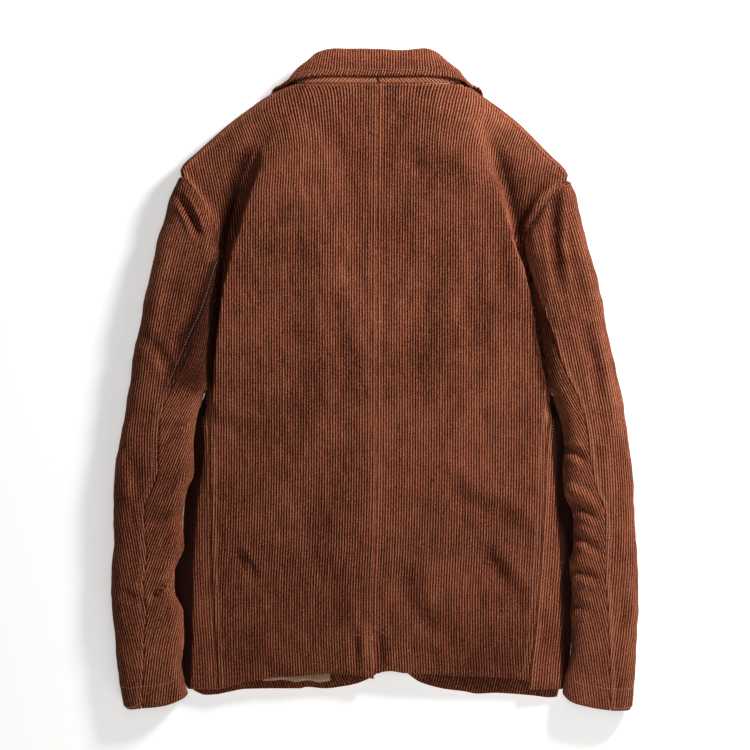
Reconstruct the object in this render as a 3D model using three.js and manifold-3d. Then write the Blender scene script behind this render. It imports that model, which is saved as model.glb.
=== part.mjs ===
import * as THREE from "three";
import Module from "manifold-3d";

const wasm = await Module();
wasm.setup();

// Corduroy blazer, laid flat face down on a floor. Millimetres, +Z up, collar towards +Y.
// The tables are drawn on a drafting grid: x counts grid squares to the right of the centre line,
// down counts grid squares from the collar fold towards the hem, heights (Z columns) are millimetres.
const GRID = 1.18;          // mm, one grid square (3/8 of a cord of the corduroy)
const TOP_DOWN = 331;       // grid squares from the collar fold to the middle of the length
const CLOTH = 2.2;          // mm, corduroy with its canvas or turned edge
const COLLAR_CLOTH = 1.5;   // mm, top collar
const LAPEL_CLOTH = 1.9;    // mm, facing of the lapel
const LINING = 1.0;         // mm, lining
const SEAM_GAP = 0.3;       // mm between neighbouring pieces
const BEVEL = 0.9;          // mm the inner face stands back from a seam edge
const NECK = 36, BREAK = 272, UNDERARM = 340, VENT = 580;   // levels, grid squares down

const CENTRE = {
  columns: ["down", "seamX", "seamZ"],
  rows: [
    [36, 3, 31],
    [82, 2.6, 32.5],
    [152, 2, 32],
    [252, 1.6, 30],
    [352, 1.6, 27.5],
    [422, 1.4, 26],
    [492, 0, 24.5],
    [552, -2.4, 23],
    [592, -2.4, 22],
    [636, -1, 20],
  ],
};
const BACK_LEFT = {
  columns: ["down", "crestX", "crestZ", "edgeX", "edgeZ", "footX", "footZ", "riseX", "riseZ", "endX", "endZ"],
  rows: [
    [36, -45, 32, -55, 31, -64, 29.5, -71, 27, -77.5, 23],
    [47, -57, 34, -70, 33, -81, 31, -92, 27, -102, 21.5],
    [62, -70, 36, -85, 34.5, -97, 32.5, -110, 29, -123, 23],
    [82, -85, 37.5, -99, 36, -113, 31.5, -131, 30, -149, 25],
    [102, -93, 38.5, -105, 37, -120, 28.5, -145, 29.5, -171.5, 26],
    [124, -99, 39, -113, 37.5, -125, 23, -155, 28, -192.5, 30],
    [142, -103, 39, -121, 38, -130, 17, -155, 24, -181.5, 32],
    [167, -107, 38.5, -129, 37.5, -136, 13, -151, 17, -166.5, 28],
    [192, -112, 37.5, -137, 37, -143, 12, -150, 12, -157.5, 20],
    [214, -117, 36.5, -144, 36, -148.5, 12, -152, 10, -155.5, 13.5],
    [242, -123, 35, -150.5, 34.5, -153.5, 13, -155.5, 9.5, -157.5, 8.5],
    [272, -129, 33.5, -155.5, 33, -158, 13, -160, 9, -162, 7.5],
    [302, -132, 32, -159, 31, -161.5, 13, -163, 9, -165, 7],
    [324, -133, 31, -161.5, 29.5, -163.5, 16, -164.5, 12, -166, 9.5],
    [347, -133, 30, -162, 28, -164.5, 21, -165.4, 18, -166.5, 15],
    [372, -127, 28, -147, 27.5, -157, 26, -161.5, 24, -165.5, 20],
    [402, -75, 26, -123, 26.5, -141, 26, -154, 24.5, -164.5, 22],
    [452, -75, 25, -120, 25, -137, 24.5, -151, 23.5, -164, 21],
    [512, -75, 24, -117, 23.5, -135, 23, -149, 22, -163.5, 20],
    [552, -75, 23, -115, 22.5, -132, 22, -147, 21, -162, 19],
    [592, -75, 22, -113, 21.5, -130, 21, -145, 20, -159.5, 18],
    [636, -75, 20, -113, 19, -130, 18.5, -143, 18, -157, 16],
  ],
};
const BACK_RIGHT = {
  columns: ["down", "crestX", "crestZ", "edgeX", "edgeZ", "footX", "footZ", "riseX", "riseZ", "endX", "endZ"],
  rows: [
    [36, 53, 32, 62, 31, 70, 29.5, 78, 27, 86, 23],
    [47, 61, 34, 74, 33, 84, 31, 93, 27, 102.5, 21.5],
    [62, 71, 36, 86, 34.5, 98, 32.5, 110, 29, 123, 23],
    [82, 83, 37.5, 98, 36, 112, 31, 129, 30, 147, 25],
    [107, 92, 38.5, 106, 37, 119, 27.5, 145, 29.5, 171, 26.5],
    [129, 95, 39, 114, 37.5, 125, 22, 155, 28, 191, 30],
    [142, 97, 39, 120, 37.5, 130, 18, 155, 25, 181.5, 32],
    [167, 100, 38.5, 128.5, 37.5, 136, 14, 150, 18, 164, 28],
    [192, 105, 38, 136.5, 37, 142, 12.5, 146.5, 13, 151, 19],
    [214, 111, 37, 144.5, 36, 148, 13, 150.5, 11, 153, 12.5],
    [242, 118, 35.5, 152, 34.5, 154.5, 13, 156, 10, 158, 8.5],
    [272, 123, 34, 157.5, 33, 160, 13, 162, 9, 164, 7.5],
    [302, 128, 32.5, 162, 31.5, 164.5, 14, 166, 10, 168, 7.5],
    [324, 133, 31.5, 166.5, 30, 168.5, 17, 169.5, 13, 171, 10],
    [347, 137, 30, 168.5, 28, 171, 21, 172, 18, 173.5, 15],
    [372, 130, 28.5, 155, 28, 166, 26.5, 170, 24, 173, 20.5],
    [402, 75, 26, 125, 27, 145, 26.5, 159, 25, 170.5, 22],
    [452, 65, 25, 122, 25.5, 141, 25, 156, 24, 168.5, 21.5],
    [512, 65, 24, 119, 24, 137, 23.5, 152, 22.5, 165, 20.5],
    [552, 65, 23, 117, 22.5, 134, 22, 148, 21, 162, 19.5],
    [592, 65, 22, 115, 21.5, 132, 21, 145, 20, 158.5, 18.5],
    [636, 65, 20, 115, 19, 130, 18.5, 142, 18, 153.5, 16.5],
  ],
};
const HEM_BACK = {
  columns: ["x", "down"],
  rows: [
    [-167, 642],
    [-157, 641.5],
    [-142, 638],
    [-129, 634],
    [-113, 632],
    [-99, 629.5],
    [-75, 628.5],
    [-47, 626],
    [-30, 626.5],
    [-15, 628],
    [-1, 631],
    [1, 627],
    [15, 623.5],
    [30, 625.5],
    [58, 626.5],
    [87, 628.5],
    [118, 629.5],
    [144, 632],
    [162, 636],
    [174, 640],
    [181, 641],
  ],
};
const HEM_FRONT_LEFT = {
  columns: ["x", "down"],
  rows: [
    [-187, 640],
    [-180, 645],
    [-170, 648.5],
    [-160, 648],
    [-147, 645.5],
    [-130, 642.5],
    [-100, 642],
    [-75, 642],
    [-69, 640.5],
    [-50, 642],
    [-35, 640.3],
    [-20, 637.5],
    [-9, 633.5],
    [0, 628.5],
    [6, 623],
  ],
};
const HEM_FRONT_RIGHT = {
  columns: ["x", "down"],
  rows: [
    [28, 623],
    [36, 629.5],
    [43, 634.5],
    [55, 639],
    [70, 642.5],
    [90, 645],
    [103, 647.3],
    [120, 646.5],
    [140, 647.5],
    [160, 649.3],
    [175, 651],
    [183, 650],
    [185, 642],
  ],
};
const FRONT_LEFT = {
  columns: ["down", "startX", "startZ", "boundX", "boundZ", "foldX", "foldZ", "footX", "endX", "flapW", "flapZ"],
  rows: [
    [36, -77.5, 22.6, -82.5, 18, -83.5, 13, -77, -69, 1, 10],
    [47, -102.4, 21.1, -105.5, 15.5, -106, 11.5, -100, -65, 40, 7],
    [62, -123.4, 22.6, -126.7, 16, -127.2, 7.5, -121, -60.5, 46, 3.4],
    [82, -149.4, 24.6, -153.2, 17, -153.7, 7, -147, -55, 50, 2.4],
    [102, -172, 25.6, -176, 18, -176.5, 7, -169, -49, 66, 2.4],
    [124, -192.5, 24, -194.5, 17, -194.2, 8, -187, -42.5, 62, 2.2],
    [142, -182, 4.5, -181.5, 3, -180.5, 1.2, -176, -37.5, 60, 2.2],
    [167, -165, 1.5, -164, 0.9, -162.5, 0.3, -160, -30, 55, 2.2],
    [192, -158.5, 0.8, -157.5, 0.5, -156, 0.2, -153, -22.5, 48, 2.2],
    [214, -156.5, 0.8, -155.5, 0.5, -154, 0.2, -151, -15.5, 41, 2.2],
    [242, -157.5, 0.8, -156.5, 0.5, -155, 0.2, -152, -6.5, 30, 2.2],
    [272, -162.5, 1.2, -161.5, 0.8, -160, 0.3, -157, 3, 13, 2.2],
    [302, -165.5, 6.4, -164, 4, -162, 1.5, -158, 12.5, 6, 0.1],
    [324, -166.4, 8.8, -164.5, 5.5, -162.5, 2, -159, 19, 6, 0],
    [347, -166.8, 14.3, -168.6, 9, -172, 3.4, -166.5, 22, 6, 0],
    [359, -166.4, 16.75, -168.8, 10.44, -175.4, 3.5, -169.9, 22, 6, 0],
    [372, -165.9, 19.4, -169, 19.4, -179.3, 3.6, -173.8, 22, 6, 0],
    [402, -164.9, 21.4, -170, 19.42, -183.5, 3.4, -178, 22, 6, 0],
    [422, -164.7, 21, -172.8, 17.4, -184.5, 3.32, -179, 22, 6, 0],
    [447, -164.4, 20.5, -176.3, 16.9, -190.5, 3.22, -185, 22, 6, 0],
    [472, -164.2, 20.07, -178.3, 16.47, -193.2, 3.13, -187.7, 22, 6, 0],
    [497, -164, 19.65, -180, 16.05, -193.2, 3.05, -187.7, 22, 6, 0],
    [524, -163.4, 19.1, -181.2, 15.5, -202, 3, -196.5, 21.7, 6, 0],
    [542, -162.8, 18.65, -181.4, 15.05, -202, 3, -196.5, 21.2, 6, 0],
    [564, -161.7, 18.1, -181.7, 14.5, -195.5, 3, -190, 19.5, 6, 0],
    [592, -159.9, 17.4, -182, 13.8, -192.8, 3, -187.3, 16, 6, 0],
    [616, -158.5, 16.5, -183, 12.9, -194.6, 3, -189.1, 10.5, 6, 0],
    [642, -157.4, 15.4, -184, 11.8, -189.5, 3, -184, 6, 6, 0],
  ],
};
const FRONT_RIGHT = {
  columns: ["down", "startX", "startZ", "boundX", "boundZ", "foldX", "foldZ", "footX", "endX", "flapW", "flapZ"],
  rows: [
    [36, 86, 22.6, 91, 18, 92, 13, 85.5, 77, 1, 10],
    [47, 103, 21.1, 106, 15.5, 106.5, 11.5, 100.5, 74, 40, 7],
    [62, 123.4, 22.6, 126.5, 16, 127, 7.5, 121, 70, 46, 3.4],
    [82, 147.4, 24.6, 151, 17, 151.5, 7, 145, 64.5, 50, 2.4],
    [107, 171.4, 26.1, 175.5, 18, 176, 7, 168.5, 57.5, 66, 2.4],
    [129, 191, 24, 193, 17, 192.8, 8, 185.5, 52, 62, 2.2],
    [142, 182.5, 4.5, 182, 3, 181, 1.2, 176.5, 48.5, 60, 2.2],
    [167, 162.5, 1.5, 161.5, 0.9, 160, 0.3, 157.5, 42, 55, 2.2],
    [192, 152.3, 0.8, 151.3, 0.5, 149.8, 0.2, 147, 35.5, 48, 2.2],
    [214, 152.5, 0.8, 151.5, 0.5, 150, 0.2, 147, 30, 41, 2.2],
    [242, 157.5, 0.8, 156.5, 0.5, 155, 0.2, 152, 23, 30, 2.2],
    [272, 164.5, 1.2, 163.5, 0.8, 162, 0.3, 159, 16, 13, 2.2],
    [302, 168.5, 7, 167, 4.4, 165, 1.8, 161, 10, 16, 2.9],
    [324, 171.4, 9.4, 169.5, 6, 167.5, 2.2, 164, 6, 20, 2.7],
    [347, 173.9, 14.3, 175.4, 9, 178.6, 3.4, 173.1, 3.5, 22, 2.4],
    [359, 173.7, 16.99, 175.7, 10.44, 182.2, 3.5, 176.7, 3.3, 22, 2.4],
    [372, 173.4, 19.9, 176, 19.9, 186, 3.6, 180.5, 3, 22, 2.4],
    [402, 170.9, 21.4, 177, 19.42, 190.5, 3.4, 185, 3, 22, 2.4],
    [422, 170.1, 21.2, 178.6, 17.6, 190.8, 3.32, 185.3, 3, 22, 2.4],
    [447, 169.1, 20.95, 180.6, 17.35, 192.8, 3.22, 187.3, 3, 22, 2.4],
    [470, 167.9, 20.6, 182.2, 17, 200, 3.14, 194.5, 3.3, 22, 2.4],
    [497, 166.3, 20.15, 184, 16.55, 199.6, 3.05, 194.1, 3.8, 22, 2.4],
    [517, 165, 19.77, 185.1, 16.17, 196.8, 3, 191.3, 4.5, 21.75, 2.4],
    [542, 163.1, 19.15, 185.4, 15.55, 198.6, 3, 193.1, 7, 20.5, 2.4],
    [564, 161.4, 18.6, 185.6, 15, 197.6, 3, 192.1, 10.4, 19.4, 2.46],
    [592, 158.9, 17.9, 186, 14.3, 198, 3, 192.5, 16, 18, 2.6],
    [616, 156, 16.5, 186, 12.9, 195.2, 3, 189.7, 24, 12, 1],
    [642, 153.9, 15.9, 186, 12.3, 190, 3, 184.5, 29, 6, 0],
  ],
};
const SLEEVE_LEFT = {
  columns: ["down", "inX", "inZ", "topZ", "outX"],
  rows: [
    [129, -189.5, 30, 33, -194.5],
    [135, -186, 31.5, 34, -198],
    [142, -181, 32, 35, -201],
    [152, -175, 30.5, 35.5, -205.5],
    [172, -163, 25.5, 36, -211.5],
    [197, -157, 18, 36.5, -218],
    [222, -156.5, 11.5, 37, -224],
    [252, -159.5, 8, 37, -230.5],
    [282, -163.5, 7.5, 37, -236],
    [302, -166, 7.5, 36.5, -240.5],
    [324, -170, 11, 36, -243.5],
    [347, -172, 13, 35.5, -247],
    [372, -179, 14, 35, -251],
    [397, -182, 14, 34.5, -256],
    [422, -181.5, 14, 34, -260],
    [447, -189.5, 14, 34, -261.7],
    [472, -192.5, 14, 33.5, -261],
    [497, -191.5, 14, 33, -261.5],
    [524, -201, 13.5, 33, -263.5],
    [542, -201, 13.5, 32.5, -264],
    [564, -192.5, 13, 32, -262.8],
    [592, -191.5, 12.5, 31, -260],
    [617, -194, 12, 30, -258],
    [637, -191, 12, 29.5, -255.5],
    [654, -187, 11.5, 29, -251],
  ],
};
const SLEEVE_RIGHT = {
  columns: ["down", "inX", "inZ", "topZ", "outX"],
  rows: [
    [133, 187.5, 30, 33, 194],
    [138, 184.5, 31.5, 34, 197],
    [144, 180.5, 32, 35, 199.5],
    [154, 172.5, 30.5, 35.5, 202.5],
    [172, 162, 26, 36, 206],
    [197, 151.5, 17, 36.5, 212.5],
    [222, 154.5, 11, 37, 220],
    [252, 160, 8, 37, 227],
    [282, 165.7, 7.5, 37, 232],
    [302, 169, 8, 36.5, 236.5],
    [324, 174, 11, 36, 241],
    [347, 178, 13, 35.5, 246.8],
    [372, 185.5, 14, 35, 251],
    [397, 189.5, 14, 34.5, 253.8],
    [422, 188, 14, 34, 257],
    [447, 190.5, 14, 34, 259],
    [470, 199, 14, 33.5, 260],
    [497, 198.5, 14, 33, 261.3],
    [517, 194.5, 13.5, 33, 262.3],
    [542, 197.5, 13.5, 32.5, 263.6],
    [564, 196, 13, 32, 263.6],
    [592, 197, 12.5, 31, 261.4],
    [617, 194, 12, 30, 261],
    [637, 189, 12, 29.5, 259.8],
    [656, 188, 11.5, 29, 257],
  ],
};
const ELBOW_LEFT = {
  columns: ["down", "x"],
  rows: [
    [214, -156],
    [242, -163],
    [270, -172],
    [284, -178.5],
    [304, -187],
    [333, -199.5],
    [356, -210],
    [377, -215],
    [402, -216],
    [421, -216.5],
    [440, -222],
    [458, -230],
    [474, -230],
    [500, -228],
    [521, -229],
    [534, -231.5],
    [555, -229],
    [568, -228],
    [584, -230.5],
    [608, -231],
    [632, -232],
    [658, -233],
  ],
};
const ELBOW_RIGHT = {
  columns: ["down", "x"],
  rows: [
    [204, 151.5],
    [220, 155],
    [236, 160],
    [261, 168],
    [289, 178.5],
    [307, 183.5],
    [325, 190],
    [352, 202.6],
    [382, 210.7],
    [413, 214.8],
    [442, 220.4],
    [460, 228],
    [490, 229.6],
    [522, 228.7],
    [554, 231.3],
    [582, 232.5],
    [617, 234],
    [659, 235],
  ],
};
const CUFF_LEFT = {
  columns: ["x", "down"],
  rows: [
    [-257, 652],
    [-251, 660],
    [-245, 661.5],
    [-233, 660],
    [-220, 659],
    [-208, 657],
    [-197, 653],
    [-189, 649],
    [-184, 644],
  ],
};
const CUFF_RIGHT = {
  columns: ["x", "down"],
  rows: [
    [185, 640],
    [189, 649],
    [195, 653.5],
    [204, 656.5],
    [215, 659],
    [230, 661.5],
    [243, 662.5],
    [254, 662.5],
    [259, 658],
    [261, 654],
  ],
};
const COLLAR_LEFT = {
  columns: ["foldX", "foldDown", "foldZ", "edgeX", "edgeDown", "edgeZ", "nx", "ny", "nz", "roll", "turn"],
  rows: [
    [1, 1.6, 25, 1, 29, 33.6, 0, 0, 1, 3.2, 5],
    [-25, 0.9, 25, -25, 29, 33.6, 0, 0, 1, 3.2, 5],
    [-45, 1.5, 25, -49, 29, 33.6, 0, 0, 1, 3.2, 5],
    [-58, 5, 24.5, -66, 30, 32.8, -0.05, 0.02, 1, 3.2, 5],
    [-69, 14, 23, -77, 31.7, 30.8, -0.25, 0.1, 0.96, 3.1, 4],
    [-77.5, 22, 20.5, -85, 34.5, 27.6, -0.5, 0.3, 0.81, 2.9, 5],
    [-81, 28.5, 16, -92.5, 38.5, 21.8, -0.75, 0.35, 0.55, 2.5, 3],
    [-77, 31.5, 10.5, -102.5, 41, 11, -0.9, 0.4, 0, 2.2, 2],
    [-68, 35, 6, -105, 46.5, 1.2, -0.5, 0.3, -0.8, 1.9, 1.5],
    [-63.5, 42, 2.9, -96, 57, 0.85, -0.1, 0.05, -1, 1.8, 1],
    [-60, 52, 2.6, -90, 67, 0.8, 0, 0, -1, 1.8, 1],
    [-54.5, 70, 2.6, -83, 84, 0.8, 0, 0, -1, 1.8, 1],
    [-46.5, 94, 2.6, -76, 98, 0.8, 0, 0, -1, 1.8, 1],
  ],
};
const COLLAR_RIGHT = {
  columns: ["foldX", "foldDown", "foldZ", "edgeX", "edgeDown", "edgeZ", "nx", "ny", "nz", "roll", "turn"],
  rows: [
    [3, 1.6, 25, 3, 29, 33.6, 0, 0, 1, 3.2, 5],
    [27, 2.4, 25, 27, 29, 33.6, 0, 0, 1, 3.2, 5],
    [49, 0.6, 25.4, 51, 29, 33.6, 0, 0, 1, 3.2, 5],
    [62.5, 5, 24.5, 70, 30, 32.8, 0.05, 0.02, 1, 3.2, 5],
    [72.5, 14, 23, 82, 32, 30.8, 0.25, 0.1, 0.96, 3.1, 4],
    [82, 22, 20.5, 89.5, 34.5, 27.6, 0.5, 0.3, 0.81, 2.9, 5],
    [86, 28.5, 16, 96, 38.5, 21.8, 0.75, 0.35, 0.55, 2.5, 3],
    [82, 31.5, 10.5, 106.5, 41, 11, 0.9, 0.4, 0, 2.2, 2],
    [74, 35, 6, 109, 46.5, 1.2, 0.5, 0.3, -0.8, 1.9, 1.5],
    [70, 42, 2.9, 99, 57, 0.85, 0.1, 0.05, -1, 1.8, 1],
    [66.5, 52, 2.6, 93, 67, 0.8, 0, 0, -1, 1.8, 1],
    [61.5, 70, 2.6, 86, 84, 0.8, 0, 0, -1, 1.8, 1],
    [53.5, 94, 2.6, 79, 98, 0.8, 0, 0, -1, 1.8, 1],
  ],
};

// ---- reading the tables -------------------------------------------------------------------
function slopes(xs, ys) {
  const n = xs.length, d = [], m = new Array(n).fill(0);
  for (let i = 0; i < n - 1; i++) d.push((ys[i + 1] - ys[i]) / (xs[i + 1] - xs[i]));
  for (let i = 1; i < n - 1; i++) {
    if (d[i - 1] * d[i] <= 0) continue;
    const h0 = xs[i] - xs[i - 1], h1 = xs[i + 1] - xs[i];
    m[i] = (3 * (h0 + h1)) / ((2 * h1 + h0) / d[i - 1] + (h1 + 2 * h0) / d[i]);
  }
  m[0] = d[0]; m[n - 1] = d[n - 2];
  return m;
}
function curve(xs, ys) {
  const m = slopes(xs, ys);
  return (x) => {
    if (x <= xs[0]) return ys[0];
    if (x >= xs[xs.length - 1]) return ys[ys.length - 1];
    let i = 0;
    while (x > xs[i + 1]) i++;
    const h = xs[i + 1] - xs[i], t = (x - xs[i]) / h, u = 1 - t;
    return ys[i] * (1 + 2 * t) * u * u + m[i] * h * t * u * u + ys[i + 1] * t * t * (3 - 2 * t) - m[i + 1] * h * t * t * u;
  };
}
function column(table, name, key = table.columns[0]) {
  const c = table.columns.indexOf(name), k = table.columns.indexOf(key);
  return curve(table.rows.map((r) => r[k]), table.rows.map((r) => r[c]));
}
function columns(table) {
  const out = {};
  for (const c of table.columns.slice(1)) out[c] = column(table, c);
  return out;
}
const lerp = (a, b, t) => a + (b - a) * t;
const clamp = (t) => Math.min(1, Math.max(0, t));
const smooth = (t) => { const c = clamp(t); return c * c * (3 - 2 * c); };
const place = (x, down, z) => new THREE.Vector3(x * GRID, (TOP_DOWN - down) * GRID, z);

// a curve through a row's stations, read by station number
function across(stations) {
  const t = [0];
  for (let i = 1; i < stations.length; i++) t.push(t[i - 1] + Math.max(0.5, Math.hypot(stations[i][0] - stations[i - 1][0], (stations[i][1] - stations[i - 1][1]) / GRID)));
  const fx = curve(t, stations.map((s) => s[0])), fz = curve(t, stations.map((s) => s[1]));
  return (q) => {
    const i = Math.min(stations.length - 2, Math.floor(q));
    const s = lerp(t[i], t[i + 1], q - i);
    return [fx(s), fz(s)];
  };
}

// ---- a piece of cloth: outer face on a grid of points, inner face one cloth thickness in ----
function clothGeometry(thick, ni, nj, point, outside, seams, grow) {
  const P = [];
  for (let j = 0; j <= nj; j++) for (let i = 0; i <= ni; i++) P.push(point(i, j));
  const at = (i, j) => P[j * (ni + 1) + i].clone();
  const outer = [], inner = [];
  for (let j = 0; j <= nj; j++) for (let i = 0; i <= ni; i++) {
    const a = new THREE.Vector3().subVectors(P[j * (ni + 1) + Math.min(ni, i + 1)], P[j * (ni + 1) + Math.max(0, i - 1)]);
    const b = new THREE.Vector3().subVectors(P[Math.min(nj, j + 1) * (ni + 1) + i], P[Math.max(0, j - 1) * (ni + 1) + i]);
    const n = new THREE.Vector3().crossVectors(a, b).normalize().multiplyScalar(outside);
    a.normalize(); b.normalize();
    const p = at(i, j).clone().addScaledVector(n, -thick - grow);
    if (grow) {
      const o = at(i, j).addScaledVector(n, grow);
      for (const q of [o, p]) q.addScaledVector(a, i === 0 ? -grow : i === ni ? grow : 0).addScaledVector(b, j === 0 ? -grow : j === nj ? grow : 0);
      outer.push(o.x, o.y, o.z);
    } else {
      if (i === 0 && seams[0]) p.addScaledVector(a, BEVEL);
      if (i === ni && seams[1]) p.addScaledVector(a, -BEVEL);
      if (j === 0 && seams[2]) p.addScaledVector(b, BEVEL);
      if (j === nj && seams[3]) p.addScaledVector(b, -BEVEL);
      outer.push(at(i, j).x, at(i, j).y, at(i, j).z);
    }
    inner.push(p.x, p.y, p.z);
  }
  const pos = outer.concat(inner);
  const M = (ni + 1) * (nj + 1), id = (i, j) => j * (ni + 1) + i, tri = [];
  const quad = (a, b, c, d) => tri.push(a, b, c, a, c, d);
  for (let j = 0; j < nj; j++) for (let i = 0; i < ni; i++) {
    quad(id(i, j), id(i + 1, j), id(i + 1, j + 1), id(i, j + 1));
    quad(M + id(i, j), M + id(i, j + 1), M + id(i + 1, j + 1), M + id(i + 1, j));
  }
  for (let i = 0; i < ni; i++) {
    quad(id(i, 0), M + id(i, 0), M + id(i + 1, 0), id(i + 1, 0));
    quad(id(i + 1, nj), M + id(i + 1, nj), M + id(i, nj), id(i, nj));
  }
  for (let j = 0; j < nj; j++) {
    quad(id(0, j + 1), M + id(0, j + 1), M + id(0, j), id(0, j));
    quad(id(ni, j), M + id(ni, j), M + id(ni, j + 1), id(ni, j + 1));
  }
  let volume = 0;
  const v = (k) => new THREE.Vector3(pos[3 * k], pos[3 * k + 1], pos[3 * k + 2]);
  for (let k = 0; k < tri.length; k += 3) volume += v(tri[k]).dot(v(tri[k + 1]).cross(v(tri[k + 2])));
  if (volume < 0) for (let k = 0; k < tri.length; k += 3) [tri[k + 1], tri[k + 2]] = [tri[k + 2], tri[k + 1]];
  return new wasm.Manifold(new wasm.Mesh({ numProp: 3, vertProperties: new Float32Array(pos), triVerts: new Uint32Array(tri) }));
}
// every piece is kept with the room it needs, so that its neighbours can be trimmed to leave the seam gap
function cloth(name, colour, thick, ni, nj, point, outside, seams = [1, 1, 1, 1]) {
  return {
    name, colour,
    body: clothGeometry(thick, ni, nj, point, outside, seams, 0),
    room: () => clothGeometry(thick, ni, nj, point, outside, seams, SEAM_GAP),
  };
}
function trim(piece, ...others) {
  for (const o of others) {
    if (piece.body.intersect(o.body).isEmpty()) continue;
    const parts = piece.body.subtract(o.room()).decompose().sort((p, q) => q.volume() - p.volume());
    piece.body = parts[0];
  }
  return piece;
}
function mesh(piece) {
  const above = piece.body.trimByPlane([0, 0, 1], 0).decompose().sort((p, q) => q.volume() - p.volume())[0];
  const m = above.simplify ? above.simplify(0.01).getMesh() : above.getMesh(), n = m.numProp;
  const xyz = new Float32Array(m.numVert * 3);
  for (let i = 0; i < m.numVert; i++) xyz.set(m.vertProperties.subarray(i * n, i * n + 3), i * 3);
  const g = new THREE.BufferGeometry();
  g.setAttribute("position", new THREE.BufferAttribute(xyz, 3));
  g.setIndex(new THREE.BufferAttribute(m.triVerts, 1));
  g.computeVertexNormals();
  const out = new THREE.Mesh(g, new THREE.MeshStandardMaterial({ color: piece.colour, roughness: 0.95 }));
  out.material.name = piece.name + "_cloth";
  out.name = piece.name;
  return out;
}

// ---- back panels ----------------------------------------------------------------------------
const LEVELS = [36, 47, 62, 82, 102, 124, 142, 167, 192, 214, 242, 272, 302, 324, 347, 372, 402, 452, 512, 552, 580, 586, 592, 616, 642];
const centre = columns(CENTRE);
const gap = SEAM_GAP / GRID / 2;
const hemBack = curve(HEM_BACK.rows.map((r) => r[0]), HEM_BACK.rows.map((r) => r[1]));
function stretch(down, last, hem) { return down <= VENT ? down : VENT + ((down - VENT) * (hem - VENT)) / (last - VENT); }

function back(name, table, side) {
  const t = columns(table);
  const picks = [0, 0.12, 0.3, 0.62, 1, 1.5, 2, 2.5, 3, 3.5, 4, 5];
  return cloth(name, 0x7a4534, CLOTH, picks.length - 1, LEVELS.length - 1, (i, j) => {
    const down = LEVELS[j];
    const row = [[centre.seamX(down) + side * gap, centre.seamZ(down)], [t.crestX(down), t.crestZ(down)], [t.edgeX(down), t.edgeZ(down)],
      [t.footX(down), t.footZ(down)], [t.riseX(down), t.riseZ(down)], [t.endX(down) - side * gap, t.endZ(down)]];
    let [x, z] = across(row)(picks[i]);
    if (down > VENT) {
      const seam = centre.seamX(down);
      if (side > 0) {                                            // underlap of the vent, below the left panel
        if (i === 0) { x = down < VENT + 8 ? seam + 0.4 : seam - 19; z -= CLOTH + 0.8; }
        if (i === 1) { x = seam + 2.2; z -= CLOTH + 0.6; }
      }
    }
    const hem = hemBack(side > 0 && i < 2 ? centre.seamX(down) + 4 : x);
    return place(x, stretch(down, 642, hem), z);
  }, -side);
}

// ---- fronts -----------------------------------------------------------------------------------
function front(name, table, hemTable, side) {
  const t = columns(table);
  const hem = curve(hemTable.rows.map((r) => r[0]), hemTable.rows.map((r) => r[1]));
  const count = 11;
  return cloth(name, side > 0 ? 0x6f3f30 : 0x6c3c2e, CLOTH, count, LEVELS.length - 1, (i, j) => {
    const down = LEVELS[j];
    const start = t.startX(down) + side * gap, foot = t.footX(down), end = t.endX(down), w = t.flapW(down), raise = t.flapZ(down);
    const lift = (x) => raise * clamp((w + 5 - Math.abs(x - end)) / 5);
    let x, z;
    if (i === 0) { x = start; z = t.startZ(down); }
    else if (i === 1) { x = t.boundX(down); z = t.boundZ(down); }
    else if (i === 2) { x = t.foldX(down); z = t.foldZ(down); }
    else if (i === 3) { x = lerp(t.foldX(down), foot, 0.35); z = lerp(t.foldZ(down), lift(foot), 0.65); }
    else {
            const rampA = side < 0 ? Math.max(foot + 3, end - w - 5) : Math.min(foot - 3, end + w + 5);
      const rampB = side < 0 ? Math.max(rampA + 2, end - w) : Math.min(rampA - 2, end + w);
      const xs = [foot, lerp(foot, rampA, 0.25), lerp(foot, rampA, 0.5), lerp(foot, rampA, 0.75), rampA, rampB, lerp(rampB, end, 0.5), end];
      x = xs[i - 4]; z = lift(x);
    }
    const edge = i < 3 ? 642 : hem(x);
    return place(x, stretch(down, 642, edge), z);
  }, -side, [1, 0, 1, 0]);
}

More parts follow.
